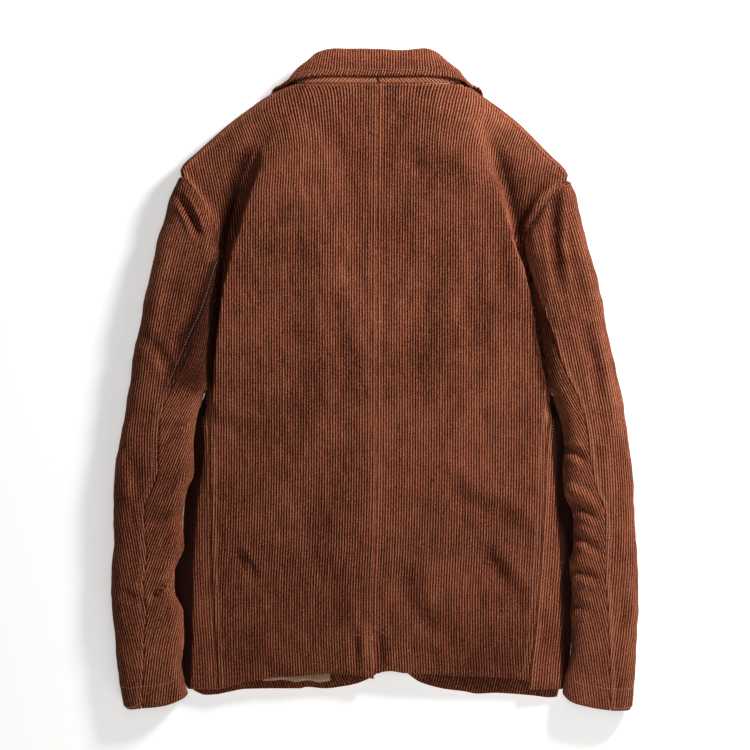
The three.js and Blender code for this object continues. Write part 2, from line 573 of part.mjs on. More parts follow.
// ---- sleeves ------------------------------------------------------------------------------------
// The section at one level is read by v: 0 inner edge, 1 outer fold, 2 inner edge again from below.
function sleeveSection(table, backTable, frontTable, cuffTable, side) {
  const s = columns(table), b = columns(backTable), f = columns(frontTable);
  const first = table.rows[0][0];
  const low = curve([first, first + 7, first + 14, first + 26, first + 45], [19, 10, 4, 1, 0]);
  const cuff = curve(cuffTable.rows.map((r) => r[0]), cuffTable.rows.map((r) => r[1]));
  const join = (down) => smooth((UNDERARM + 7 - down) / 6);
  const shape = (down) => {
    const k = join(down), openX = b.endX(down) + side * gap * 2, openZ = b.endZ(down);
    const inX = lerp(s.inX(down), openX, k), inZ = lerp(s.inZ(down), openZ, k);
    const finX = lerp(s.inX(down), f.startX(down) + side * gap * 2, k), finZ = lerp(s.inZ(down), f.startZ(down), k);
    const outX = s.outX(down), topZ = Math.max(s.topZ(down), inZ + 0.6), lowZ = Math.min(low(down), finZ);
    const midZ = Math.min(topZ - 1, Math.max(topZ / 2 - 1, (inZ + finZ) / 2 * smooth((first + 40 - down) / 40)));
    const wide = Math.abs(outX - inX);
    const ro = Math.min(wide * 0.45, 17), ri = Math.min(wide * 0.4, Math.max(4, (topZ - inZ) * 0.75));
    const rf = Math.min(wide * 0.4, Math.max(1.5, (finZ - lowZ) * 0.95));
    return { inX, inZ, finX, finZ, outX, topZ, lowZ, midZ, ro, ri, rf };
  };
  const point = (down, v) => {
    const q = shape(down), h = Math.PI / 2;
    let x, z;
    if (v < 0) v += 2;
    if (v <= 0.3) { const a = (v / 0.3) * h; x = q.inX + side * q.ri * (1 - Math.cos(a)); z = q.inZ + (q.topZ - q.inZ) * Math.sin(a); }
    else if (v <= 0.6) { const e = (v - 0.3) / 0.3; x = lerp(q.inX + side * q.ri, q.outX - side * q.ro, e); z = q.topZ + 0.8 * Math.sin(Math.PI * e); }
    else if (v <= 1) { const a = ((1 - v) / 0.4) * h; x = q.outX - side * q.ro * (1 - Math.cos(a)); z = q.midZ + (q.topZ - q.midZ) * Math.sin(a); }
    else if (v <= 1.3) { const a = ((v - 1) / 0.3) * h; x = q.outX - side * q.ro * (1 - Math.cos(a)); z = q.midZ - (q.midZ - q.lowZ) * Math.sin(a); }
    else if (v <= 1.75) { x = lerp(q.outX - side * q.ro, q.finX + side * q.rf, (v - 1.3) / 0.45); z = q.lowZ; }
    else { const a = ((2 - v) / 0.25) * h; x = q.finX + side * q.rf * (1 - Math.cos(a)); z = q.finZ - (q.finZ - q.lowZ) * Math.sin(a); }
    return [x, z];
  };
  const find = (down, x, from, to) => {
    let a = from, b2 = to;
    const fa = side * (point(down, a)[0] - x) < 0;
    for (let k = 0; k < 26; k++) {
      const m = (a + b2) / 2;
      if ((side * (point(down, m)[0] - x) < 0) === fa) a = m; else b2 = m;
    }
    return (a + b2) / 2;
  };
  return { point, shape, find, cuff, first };
}
const SLEEVE_SEAMS = 214;     // level where the elbow seam and the front sleeve seam leave the armhole
const FRONT_SEAM_IN = { columns: ["down", "in"], rows: [[214, 0], [257, 5], [304, 14], [347, 18], [420, 20], [654, 20]] };
const SLEEVE_LEVELS = [214, 228, 242, 257, 272, 288, 304, 324, 347, 372, 397, 422, 447, 472, 497, 515, 533, 552, 575, 600, 627, 654];

function sleeves(tag, side, table, backTable, frontTable, cuffTable, elbowTable) {
  const sec = sleeveSection(table, backTable, frontTable, cuffTable, side);
  const elbow = column(elbowTable, "x"), seamIn = column(FRONT_SEAM_IN, "in");
  const frontX = (down) => sec.shape(down).finX + side * seamIn(down);
  const first = sec.first, last = 654;
  const head = [first + 0.5, first + 6, first + 13, first + 24, first + 44, first + 64];
  const levels = head.concat(SLEEVE_LEVELS);
  const hemOf = (x, down) => (down <= 600 ? down : 600 + ((down - 600) * (sec.cuff(x) - 600)) / (last - 600));
  const cuts = [0, 0.12, 0.24, 0.34, 0.43, 0.5, 0.6, 0.7, 0.8, 0.9, 1];
  const top = cloth("sleeve_top_" + tag, 0x75422f, CLOTH, cuts.length - 1, levels.length - 1, (i, j) => {
    const down = levels[j];
    const a = down < SLEEVE_SEAMS ? 0 : sec.find(down, elbow(down) + side * gap, 0, 1);
    const b = down < SLEEVE_SEAMS ? 2 : sec.find(down, frontX(down) + side * gap, 2, 1);
    const [x, z] = sec.point(down, lerp(a, b, cuts[i]));
    return place(x, hemOf(x, down), z);
  }, -side, [1, 1, 1, 0]);
  const nu = 8;
  const under = cloth("sleeve_under_" + tag, 0x6a3a2b, CLOTH, nu, SLEEVE_LEVELS.length - 1, (i, j) => {
    const u = i / nu;                                              // 0 elbow seam, 0.5 inner edge, 1 front seam
    const start = lerp(SLEEVE_SEAMS, UNDERARM + 6, smooth(1 - Math.abs(2 * u - 1)));
    const down = last - ((last - SLEEVE_LEVELS[j]) * (last - start)) / (last - SLEEVE_SEAMS);
    const open = down < UNDERARM + 6 ? 1 - smooth((down - start) / Math.max(1, (UNDERARM + 6 - start) * 0.9)) : 0;
    const edge = 1 - Math.abs(2 * u - 1), e = edge <= 0 ? 0 : lerp(edge, 1, open);
    let v;
    if (u <= 0.5) v = lerp(sec.find(down, elbow(down) - side * gap, 0, 1), 0, e);
    else v = lerp(sec.find(down, frontX(down) - side * gap, 2, 1) - 2, -1e-6, e);
    const [x, z] = sec.point(down, v);
    return place(x, hemOf(x, down), z);
  }, side, [1, 1, 1, 0]);
  return [top, under];
}

// ---- collar --------------------------------------------------------------------------------------
function collarStation(table, k) {
  const g = (n) => table.rows[k][table.columns.indexOf(n)];
  const F = place(g("foldX"), g("foldDown"), g("foldZ")), E = place(g("edgeX"), g("edgeDown"), g("edgeZ"));
  const d = new THREE.Vector3().subVectors(E, F).normalize();
  const n = new THREE.Vector3(g("nx"), g("ny"), g("nz"));
  n.addScaledVector(d, -n.dot(d)).normalize();
  return { F, E, d, n, r: g("roll"), turn: g("turn") * GRID };
}
function collar() {
  const st = [];
  for (let k = COLLAR_LEFT.rows.length - 1; k >= 1; k--) st.push(collarStation(COLLAR_LEFT, k));
  for (let k = 0; k < COLLAR_RIGHT.rows.length; k++) st.push(collarStation(COLLAR_RIGHT, k));
  const steps = 7;
  return cloth("collar_fall", 0x83503c, COLLAR_CLOTH, steps, st.length - 1, (i, j) => {
    const { F, E, d, n, r, turn } = st[j];
    const C = F.clone().addScaledVector(d, r);
    if (i === 0) return C.clone().addScaledVector(n, -r - turn * 0.25).addScaledVector(d, turn);
    if (i <= 4) { const a = -Math.PI / 2 - ((i - 1) / 3) * Math.PI; return C.clone().addScaledVector(n, r * Math.sin(a)).addScaledVector(d, r * Math.cos(a)); }
    const from = C.clone().addScaledVector(n, r), e = (i - 4) / (steps - 4);
    return from.lerp(E, e);
  }, 1, [0, 0, 0, 0]);
}
function stand(tag, side, table, backTable) {
  const b = columns(backTable), c = columns(CENTRE);
  const rows = 3, last = 5, n = 10;
  const neckX = [centre.seamX(NECK) + side * 1, b.crestX(NECK), b.edgeX(NECK), b.footX(NECK), b.riseX(NECK), b.endX(NECK)];
  const neckZ = [c.seamZ(NECK), b.crestZ(NECK), b.edgeZ(NECK), b.footZ(NECK), b.riseZ(NECK), b.endZ(NECK)];
  return cloth("collar_stand_" + tag, 0x7d4a38, 1.4, rows, n, (i, j) => {
    const k = (j / n) * last, k0 = Math.min(last - 1, Math.floor(k)), e = k - k0;
    const A = collarStation(table, k0), B = collarStation(table, k0 + 1);
    const inside = (s) => s.F.clone().addScaledVector(s.d, s.r + 1).addScaledVector(s.n, 0.7);
    const top = inside(A).lerp(inside(B), e);
    const foot = place(lerp(neckX[k0], neckX[k0 + 1], e), NECK - SEAM_GAP / GRID - (k > 3 ? (k - 3) * 0.6 : 0), lerp(neckZ[k0], neckZ[k0 + 1], e));
    if (j === 0) { top.x = (centre.seamX(NECK) + side * gap - 1.4) * GRID; foot.x = top.x; }
    return top.lerp(foot, i / rows);
  }, side, [0, 1, 1, 0]);
}

// ---- lapels, lying under the fronts, and the corner of the lining --------------------------------
function lapel(name, table, side) {
  const t = columns(table), levels = [104, 124, 142, 167, 192, 214, 242, 262, BREAK];
  return cloth(name, 0x75422f, LAPEL_CLOTH, 3, levels.length - 1, (i, j) => {
    const down = levels[j], end = t.endX(down), w = t.flapW(down) - 2.2;
    return place(lerp(end + side * w, end, i / 3), down, 0);
  }, -side, [0, 0, 0, 0]);
}
function lining() {
  return cloth("lining", 0xc9a97a, LINING, 6, 3, (i, j) => {
    const x = lerp(-118, -45, i / 6), hem = [632.5, 634.5, 633, 635.4, 634, 635.6, 634.6][i];
    return place(x, lerp(572, hem, j / 3), CLOTH + SEAM_GAP + LINING);
  }, -1, [0, 0, 0, 0]);
}

const backLeft = back("back_left", BACK_LEFT, -1), backRight = back("back_right", BACK_RIGHT, 1);
const frontLeft = front("front_left", FRONT_LEFT, HEM_FRONT_LEFT, -1), frontRight = front("front_right", FRONT_RIGHT, HEM_FRONT_RIGHT, 1);
const [topLeft, underLeft] = sleeves("left", -1, SLEEVE_LEFT, BACK_LEFT, FRONT_LEFT, CUFF_LEFT, ELBOW_LEFT);
const [topRight, underRight] = sleeves("right", 1, SLEEVE_RIGHT, BACK_RIGHT, FRONT_RIGHT, CUFF_RIGHT, ELBOW_RIGHT);
const fall = collar(), standLeft = stand("left", -1, COLLAR_LEFT, BACK_LEFT), standRight = stand("right", 1, COLLAR_RIGHT, BACK_RIGHT);
const lapelLeft = lapel("lapel_left", FRONT_LEFT, -1), lapelRight = lapel("lapel_right", FRONT_RIGHT, 1), corner = lining();
trim(backRight, backLeft);
trim(frontLeft, backLeft); trim(frontRight, backRight, frontLeft);
trim(topLeft, backLeft, frontLeft); trim(topRight, backRight, frontRight);
trim(underLeft, topLeft, backLeft, frontLeft); trim(underRight, topRight, backRight, frontRight);
trim(standLeft, backLeft, frontLeft); trim(standRight, standLeft, backRight, frontRight);
trim(fall, frontLeft, frontRight, backLeft, backRight, standLeft, standRight);
trim(lapelLeft, frontLeft, fall); trim(lapelRight, frontRight, fall);
trim(corner, frontLeft, backLeft);

const jacket = new THREE.Group();
jacket.name = "corduroy_jacket";
for (const piece of [backLeft, backRight, frontLeft, frontRight, topLeft, underLeft, topRight, underRight, fall, standLeft, standRight, lapelLeft, lapelRight, corner]) jacket.add(mesh(piece));
export default jacket;
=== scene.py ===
import math
import bpy
import numpy as np
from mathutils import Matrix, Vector


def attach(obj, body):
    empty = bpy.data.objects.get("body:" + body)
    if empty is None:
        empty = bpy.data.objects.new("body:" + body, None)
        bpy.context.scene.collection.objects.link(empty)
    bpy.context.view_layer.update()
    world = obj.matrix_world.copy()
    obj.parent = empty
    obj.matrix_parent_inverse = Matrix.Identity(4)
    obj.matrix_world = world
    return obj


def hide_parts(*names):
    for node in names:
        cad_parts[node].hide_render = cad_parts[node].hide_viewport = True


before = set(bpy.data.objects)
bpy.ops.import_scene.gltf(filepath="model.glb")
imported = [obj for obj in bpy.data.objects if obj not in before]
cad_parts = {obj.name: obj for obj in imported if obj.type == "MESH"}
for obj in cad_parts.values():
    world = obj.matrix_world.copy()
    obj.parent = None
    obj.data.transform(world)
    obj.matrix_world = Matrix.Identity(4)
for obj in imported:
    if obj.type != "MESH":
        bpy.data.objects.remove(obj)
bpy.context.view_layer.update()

CLOTH, COLLAR_CLOTH, LAPEL_CLOTH, LINING, SEAM = 2.2, 1.5, 1.9, 1.0, 0.3
G = 1.18                     # mm, one square of the drafting grid
TOP_DOWN = 331.0             # grid squares from the collar fold to the middle of the length
WALE = 2.66                  # grid squares from one cord to the next
NECK, BREAK, UNDERARM, VENT = 36.0, 272.0, 340.0, 580.0

# ---- tables of the cut, in grid squares (x right of centre, down from the collar fold) and mm ----
CENTRE = ("down seamX seamZ", [
    (36, 3, 31),
    (82, 2.6, 32.5),
    (152, 2, 32),
    (252, 1.6, 30),
    (352, 1.6, 27.5),
    (422, 1.4, 26),
    (492, 0, 24.5),
    (552, -2.4, 23),
    (592, -2.4, 22),
    (636, -1, 20),
])
BACK_LEFT = ("down crestX crestZ edgeX edgeZ footX footZ riseX riseZ endX endZ", [
    (36, -45, 32, -55, 31, -64, 29.5, -71, 27, -77.5, 23),
    (47, -57, 34, -70, 33, -81, 31, -92, 27, -102, 21.5),
    (62, -70, 36, -85, 34.5, -97, 32.5, -110, 29, -123, 23),
    (82, -85, 37.5, -99, 36, -113, 31.5, -131, 30, -149, 25),
    (102, -93, 38.5, -105, 37, -120, 28.5, -145, 29.5, -171.5, 26),
    (124, -99, 39, -113, 37.5, -125, 23, -155, 28, -192.5, 30),
    (142, -103, 39, -121, 38, -130, 17, -155, 24, -181.5, 32),
    (167, -107, 38.5, -129, 37.5, -136, 13, -151, 17, -166.5, 28),
    (192, -112, 37.5, -137, 37, -143, 12, -150, 12, -157.5, 20),
    (214, -117, 36.5, -144, 36, -148.5, 12, -152, 10, -155.5, 13.5),
    (242, -123, 35, -150.5, 34.5, -153.5, 13, -155.5, 9.5, -157.5, 8.5),
    (272, -129, 33.5, -155.5, 33, -158, 13, -160, 9, -162, 7.5),
    (302, -132, 32, -159, 31, -161.5, 13, -163, 9, -165, 7),
    (324, -133, 31, -161.5, 29.5, -163.5, 16, -164.5, 12, -166, 9.5),
    (347, -133, 30, -162, 28, -164.5, 21, -165.4, 18, -166.5, 15),
    (372, -127, 28, -147, 27.5, -157, 26, -161.5, 24, -165.5, 20),
    (402, -75, 26, -123, 26.5, -141, 26, -154, 24.5, -164.5, 22),
    (452, -75, 25, -120, 25, -137, 24.5, -151, 23.5, -164, 21),
    (512, -75, 24, -117, 23.5, -135, 23, -149, 22, -163.5, 20),
    (552, -75, 23, -115, 22.5, -132, 22, -147, 21, -162, 19),
    (592, -75, 22, -113, 21.5, -130, 21, -145, 20, -159.5, 18),
    (636, -75, 20, -113, 19, -130, 18.5, -143, 18, -157, 16),
])
BACK_RIGHT = ("down crestX crestZ edgeX edgeZ footX footZ riseX riseZ endX endZ", [
    (36, 53, 32, 62, 31, 70, 29.5, 78, 27, 86, 23),
    (47, 61, 34, 74, 33, 84, 31, 93, 27, 102.5, 21.5),
    (62, 71, 36, 86, 34.5, 98, 32.5, 110, 29, 123, 23),
    (82, 83, 37.5, 98, 36, 112, 31, 129, 30, 147, 25),
    (107, 92, 38.5, 106, 37, 119, 27.5, 145, 29.5, 171, 26.5),
    (129, 95, 39, 114, 37.5, 125, 22, 155, 28, 191, 30),
    (142, 97, 39, 120, 37.5, 130, 18, 155, 25, 181.5, 32),
    (167, 100, 38.5, 128.5, 37.5, 136, 14, 150, 18, 164, 28),
    (192, 105, 38, 136.5, 37, 142, 12.5, 146.5, 13, 151, 19),
    (214, 111, 37, 144.5, 36, 148, 13, 150.5, 11, 153, 12.5),
    (242, 118, 35.5, 152, 34.5, 154.5, 13, 156, 10, 158, 8.5),
    (272, 123, 34, 157.5, 33, 160, 13, 162, 9, 164, 7.5),
    (302, 128, 32.5, 162, 31.5, 164.5, 14, 166, 10, 168, 7.5),
    (324, 133, 31.5, 166.5, 30, 168.5, 17, 169.5, 13, 171, 10),
    (347, 137, 30, 168.5, 28, 171, 21, 172, 18, 173.5, 15),
    (372, 130, 28.5, 155, 28, 166, 26.5, 170, 24, 173, 20.5),
    (402, 75, 26, 125, 27, 145, 26.5, 159, 25, 170.5, 22),
    (452, 65, 25, 122, 25.5, 141, 25, 156, 24, 168.5, 21.5),
    (512, 65, 24, 119, 24, 137, 23.5, 152, 22.5, 165, 20.5),
    (552, 65, 23, 117, 22.5, 134, 22, 148, 21, 162, 19.5),
    (592, 65, 22, 115, 21.5, 132, 21, 145, 20, 158.5, 18.5),
    (636, 65, 20, 115, 19, 130, 18.5, 142, 18, 153.5, 16.5),
])
HEM_BACK = ("x down", [
    (-167, 642),
    (-157, 641.5),
    (-142, 638),
    (-129, 634),
    (-113, 632),
    (-99, 629.5),
    (-75, 628.5),
    (-47, 626),
    (-30, 626.5),
    (-15, 628),
    (-1, 631),
    (1, 627),
    (15, 623.5),
    (30, 625.5),
    (58, 626.5),
    (87, 628.5),
    (118, 629.5),
    (144, 632),
    (162, 636),
    (174, 640),
    (181, 641),
])
HEM_FRONT_LEFT = ("x down", [
    (-187, 640),
    (-180, 645),
    (-170, 648.5),
    (-160, 648),
    (-147, 645.5),
    (-130, 642.5),
    (-100, 642),
    (-75, 642),
    (-69, 640.5),
    (-50, 642),
    (-35, 640.3),
    (-20, 637.5),
    (-9, 633.5),
    (0, 628.5),
    (6, 623),
])
HEM_FRONT_RIGHT = ("x down", [
    (28, 623),
    (36, 629.5),
    (43, 634.5),
    (55, 639),
    (70, 642.5),
    (90, 645),
    (103, 647.3),
    (120, 646.5),
    (140, 647.5),
    (160, 649.3),
    (175, 651),
    (183, 650),
    (185, 642),
])
FRONT_LEFT = ("down startX startZ boundX boundZ foldX foldZ footX endX flapW flapZ", [
    (36, -77.5, 22.6, -82.5, 18, -83.5, 13, -77, -69, 1, 10),
    (47, -102.4, 21.1, -105.5, 15.5, -106, 11.5, -100, -65, 40, 7),
    (62, -123.4, 22.6, -126.7, 16, -127.2, 7.5, -121, -60.5, 46, 3.4),
    (82, -149.4, 24.6, -153.2, 17, -153.7, 7, -147, -55, 50, 2.4),
    (102, -172, 25.6, -176, 18, -176.5, 7, -169, -49, 66, 2.4),
    (124, -192.5, 24, -194.5, 17, -194.2, 8, -187, -42.5, 62, 2.2),
    (142, -182, 4.5, -181.5, 3, -180.5, 1.2, -176, -37.5, 60, 2.2),
    (167, -165, 1.5, -164, 0.9, -162.5, 0.3, -160, -30, 55, 2.2),
    (192, -158.5, 0.8, -157.5, 0.5, -156, 0.2, -153, -22.5, 48, 2.2),
    (214, -156.5, 0.8, -155.5, 0.5, -154, 0.2, -151, -15.5, 41, 2.2),
    (242, -157.5, 0.8, -156.5, 0.5, -155, 0.2, -152, -6.5, 30, 2.2),
    (272, -162.5, 1.2, -161.5, 0.8, -160, 0.3, -157, 3, 13, 2.2),
    (302, -165.5, 6.4, -164, 4, -162, 1.5, -158, 12.5, 6, 0.1),
    (324, -166.4, 8.8, -164.5, 5.5, -162.5, 2, -159, 19, 6, 0),
    (347, -166.8, 14.3, -168.6, 9, -172, 3.4, -166.5, 22, 6, 0),
    (359, -166.4, 16.75, -168.8, 10.44, -175.4, 3.5, -169.9, 22, 6, 0),
    (372, -165.9, 19.4, -169, 19.4, -179.3, 3.6, -173.8, 22, 6, 0),
    (402, -164.9, 21.4, -170, 19.42, -183.5, 3.4, -178, 22, 6, 0),
    (422, -164.7, 21, -172.8, 17.4, -184.5, 3.32, -179, 22, 6, 0),
    (447, -164.4, 20.5, -176.3, 16.9, -190.5, 3.22, -185, 22, 6, 0),
    (472, -164.2, 20.07, -178.3, 16.47, -193.2, 3.13, -187.7, 22, 6, 0),
    (497, -164, 19.65, -180, 16.05, -193.2, 3.05, -187.7, 22, 6, 0),
    (524, -163.4, 19.1, -181.2, 15.5, -202, 3, -196.5, 21.7, 6, 0),
    (542, -162.8, 18.65, -181.4, 15.05, -202, 3, -196.5, 21.2, 6, 0),
    (564, -161.7, 18.1, -181.7, 14.5, -195.5, 3, -190, 19.5, 6, 0),
    (592, -159.9, 17.4, -182, 13.8, -192.8, 3, -187.3, 16, 6, 0),
    (616, -158.5, 16.5, -183, 12.9, -194.6, 3, -189.1, 10.5, 6, 0),
    (642, -157.4, 15.4, -184, 11.8, -189.5, 3, -184, 6, 6, 0),
])
FRONT_RIGHT = ("down startX startZ boundX boundZ foldX foldZ footX endX flapW flapZ", [
    (36, 86, 22.6, 91, 18, 92, 13, 85.5, 77, 1, 10),
    (47, 103, 21.1, 106, 15.5, 106.5, 11.5, 100.5, 74, 40, 7),
    (62, 123.4, 22.6, 126.5, 16, 127, 7.5, 121, 70, 46, 3.4),
    (82, 147.4, 24.6, 151, 17, 151.5, 7, 145, 64.5, 50, 2.4),
    (107, 171.4, 26.1, 175.5, 18, 176, 7, 168.5, 57.5, 66, 2.4),
    (129, 191, 24, 193, 17, 192.8, 8, 185.5, 52, 62, 2.2),
    (142, 182.5, 4.5, 182, 3, 181, 1.2, 176.5, 48.5, 60, 2.2),
    (167, 162.5, 1.5, 161.5, 0.9, 160, 0.3, 157.5, 42, 55, 2.2),
    (192, 152.3, 0.8, 151.3, 0.5, 149.8, 0.2, 147, 35.5, 48, 2.2),
    (214, 152.5, 0.8, 151.5, 0.5, 150, 0.2, 147, 30, 41, 2.2),
    (242, 157.5, 0.8, 156.5, 0.5, 155, 0.2, 152, 23, 30, 2.2),
    (272, 164.5, 1.2, 163.5, 0.8, 162, 0.3, 159, 16, 13, 2.2),
    (302, 168.5, 7, 167, 4.4, 165, 1.8, 161, 10, 16, 2.9),
    (324, 171.4, 9.4, 169.5, 6, 167.5, 2.2, 164, 6, 20, 2.7),
    (347, 173.9, 14.3, 175.4, 9, 178.6, 3.4, 173.1, 3.5, 22, 2.4),
    (359, 173.7, 16.99, 175.7, 10.44, 182.2, 3.5, 176.7, 3.3, 22, 2.4),
    (372, 173.4, 19.9, 176, 19.9, 186, 3.6, 180.5, 3, 22, 2.4),
    (402, 170.9, 21.4, 177, 19.42, 190.5, 3.4, 185, 3, 22, 2.4),
    (422, 170.1, 21.2, 178.6, 17.6, 190.8, 3.32, 185.3, 3, 22, 2.4),
    (447, 169.1, 20.95, 180.6, 17.35, 192.8, 3.22, 187.3, 3, 22, 2.4),
    (470, 167.9, 20.6, 182.2, 17, 200, 3.14, 194.5, 3.3, 22, 2.4),
    (497, 166.3, 20.15, 184, 16.55, 199.6, 3.05, 194.1, 3.8, 22, 2.4),
    (517, 165, 19.77, 185.1, 16.17, 196.8, 3, 191.3, 4.5, 21.75, 2.4),
    (542, 163.1, 19.15, 185.4, 15.55, 198.6, 3, 193.1, 7, 20.5, 2.4),
    (564, 161.4, 18.6, 185.6, 15, 197.6, 3, 192.1, 10.4, 19.4, 2.46),
    (592, 158.9, 17.9, 186, 14.3, 198, 3, 192.5, 16, 18, 2.6),
    (616, 156, 16.5, 186, 12.9, 195.2, 3, 189.7, 24, 12, 1),
    (642, 153.9, 15.9, 186, 12.3, 190, 3, 184.5, 29, 6, 0),
])
SLEEVE_LEFT = ("down inX inZ topZ outX", [
    (129, -189.5, 30, 33, -194.5),
    (135, -186, 31.5, 34, -198),
    (142, -181, 32, 35, -201),
    (152, -175, 30.5, 35.5, -205.5),
    (172, -163, 25.5, 36, -211.5),
    (197, -157, 18, 36.5, -218),
    (222, -156.5, 11.5, 37, -224),
    (252, -159.5, 8, 37, -230.5),
    (282, -163.5, 7.5, 37, -236),
    (302, -166, 7.5, 36.5, -240.5),
    (324, -170, 11, 36, -243.5),
    (347, -172, 13, 35.5, -247),
    (372, -179, 14, 35, -251),
    (397, -182, 14, 34.5, -256),
    (422, -181.5, 14, 34, -260),
    (447, -189.5, 14, 34, -261.7),
    (472, -192.5, 14, 33.5, -261),
    (497, -191.5, 14, 33, -261.5),
    (524, -201, 13.5, 33, -263.5),
    (542, -201, 13.5, 32.5, -264),
    (564, -192.5, 13, 32, -262.8),
    (592, -191.5, 12.5, 31, -260),
    (617, -194, 12, 30, -258),
    (637, -191, 12, 29.5, -255.5),
    (654, -187, 11.5, 29, -251),
])
SLEEVE_RIGHT = ("down inX inZ topZ outX", [
    (133, 187.5, 30, 33, 194),
    (138, 184.5, 31.5, 34, 197),
    (144, 180.5, 32, 35, 199.5),
    (154, 172.5, 30.5, 35.5, 202.5),
    (172, 162, 26, 36, 206),
    (197, 151.5, 17, 36.5, 212.5),
    (222, 154.5, 11, 37, 220),
    (252, 160, 8, 37, 227),
    (282, 165.7, 7.5, 37, 232),
    (302, 169, 8, 36.5, 236.5),
    (324, 174, 11, 36, 241),
    (347, 178, 13, 35.5, 246.8),
    (372, 185.5, 14, 35, 251),
    (397, 189.5, 14, 34.5, 253.8),
    (422, 188, 14, 34, 257),
    (447, 190.5, 14, 34, 259),
    (470, 199, 14, 33.5, 260),
    (497, 198.5, 14, 33, 261.3),
    (517, 194.5, 13.5, 33, 262.3),
    (542, 197.5, 13.5, 32.5, 263.6),
    (564, 196, 13, 32, 263.6),
    (592, 197, 12.5, 31, 261.4),
    (617, 194, 12, 30, 261),
    (637, 189, 12, 29.5, 259.8),
    (656, 188, 11.5, 29, 257),
])
ELBOW_LEFT = ("down x", [
    (214, -156),
    (242, -163),
    (270, -172),
    (284, -178.5),
    (304, -187),
    (333, -199.5),
    (356, -210),
    (377, -215),
    (402, -216),
    (421, -216.5),
    (440, -222),
    (458, -230),
    (474, -230),
    (500, -228),
    (521, -229),
    (534, -231.5),
    (555, -229),
    (568, -228),
    (584, -230.5),
    (608, -231),
    (632, -232),
    (658, -233),
])
ELBOW_RIGHT = ("down x", [
    (204, 151.5),
    (220, 155),
    (236, 160),
    (261, 168),
    (289, 178.5),
    (307, 183.5),
    (325, 190),
    (352, 202.6),
    (382, 210.7),
    (413, 214.8),
    (442, 220.4),
    (460, 228),
    (490, 229.6),
    (522, 228.7),
    (554, 231.3),
    (582, 232.5),
    (617, 234),
    (659, 235),
])
CUFF_LEFT = ("x down", [
    (-257, 652),
    (-251, 660),
    (-245, 661.5),
    (-233, 660),
    (-220, 659),
    (-208, 657),
    (-197, 653),
    (-189, 649),
    (-184, 644),
])
CUFF_RIGHT = ("x down", [
    (185, 640),
    (189, 649),
    (195, 653.5),
    (204, 656.5),
    (215, 659),
    (230, 661.5),
    (243, 662.5),
    (254, 662.5),
    (259, 658),
    (261, 654),
])
COLLAR_LEFT = ("foldX foldDown foldZ edgeX edgeDown edgeZ nx ny nz roll turn", [
    (1, 1.6, 25, 1, 29, 33.6, 0, 0, 1, 3.2, 5),
    (-25, 0.9, 25, -25, 29, 33.6, 0, 0, 1, 3.2, 5),
    (-45, 1.5, 25, -49, 29, 33.6, 0, 0, 1, 3.2, 5),
    (-58, 5, 24.5, -66, 30, 32.8, -0.05, 0.02, 1, 3.2, 5),
    (-69, 14, 23, -77, 31.7, 30.8, -0.25, 0.1, 0.96, 3.1, 4),
    (-77.5, 22, 20.5, -85, 34.5, 27.6, -0.5, 0.3, 0.81, 2.9, 5),
    (-81, 28.5, 16, -92.5, 38.5, 21.8, -0.75, 0.35, 0.55, 2.5, 3),
    (-77, 31.5, 10.5, -102.5, 41, 11, -0.9, 0.4, 0, 2.2, 2),
    (-68, 35, 6, -105, 46.5, 1.2, -0.5, 0.3, -0.8, 1.9, 1.5),
    (-63.5, 42, 2.9, -96, 57, 0.85, -0.1, 0.05, -1, 1.8, 1),
    (-60, 52, 2.6, -90, 67, 0.8, 0, 0, -1, 1.8, 1),
    (-54.5, 70, 2.6, -83, 84, 0.8, 0, 0, -1, 1.8, 1),
    (-46.5, 94, 2.6, -76, 98, 0.8, 0, 0, -1, 1.8, 1),
])
COLLAR_RIGHT = ("foldX foldDown foldZ edgeX edgeDown edgeZ nx ny nz roll turn", [
    (3, 1.6, 25, 3, 29, 33.6, 0, 0, 1, 3.2, 5),
    (27, 2.4, 25, 27, 29, 33.6, 0, 0, 1, 3.2, 5),
    (49, 0.6, 25.4, 51, 29, 33.6, 0, 0, 1, 3.2, 5),
    (62.5, 5, 24.5, 70, 30, 32.8, 0.05, 0.02, 1, 3.2, 5),
    (72.5, 14, 23, 82, 32, 30.8, 0.25, 0.1, 0.96, 3.1, 4),
    (82, 22, 20.5, 89.5, 34.5, 27.6, 0.5, 0.3, 0.81, 2.9, 5),
    (86, 28.5, 16, 96, 38.5, 21.8, 0.75, 0.35, 0.55, 2.5, 3),
    (82, 31.5, 10.5, 106.5, 41, 11, 0.9, 0.4, 0, 2.2, 2),
    (74, 35, 6, 109, 46.5, 1.2, 0.5, 0.3, -0.8, 1.9, 1.5),
    (70, 42, 2.9, 99, 57, 0.85, 0.1, 0.05, -1, 1.8, 1),
    (66.5, 52, 2.6, 93, 67, 0.8, 0, 0, -1, 1.8, 1),
    (61.5, 70, 2.6, 86, 84, 0.8, 0, 0, -1, 1.8, 1),
    (53.5, 94, 2.6, 79, 98, 0.8, 0, 0, -1, 1.8, 1),
])


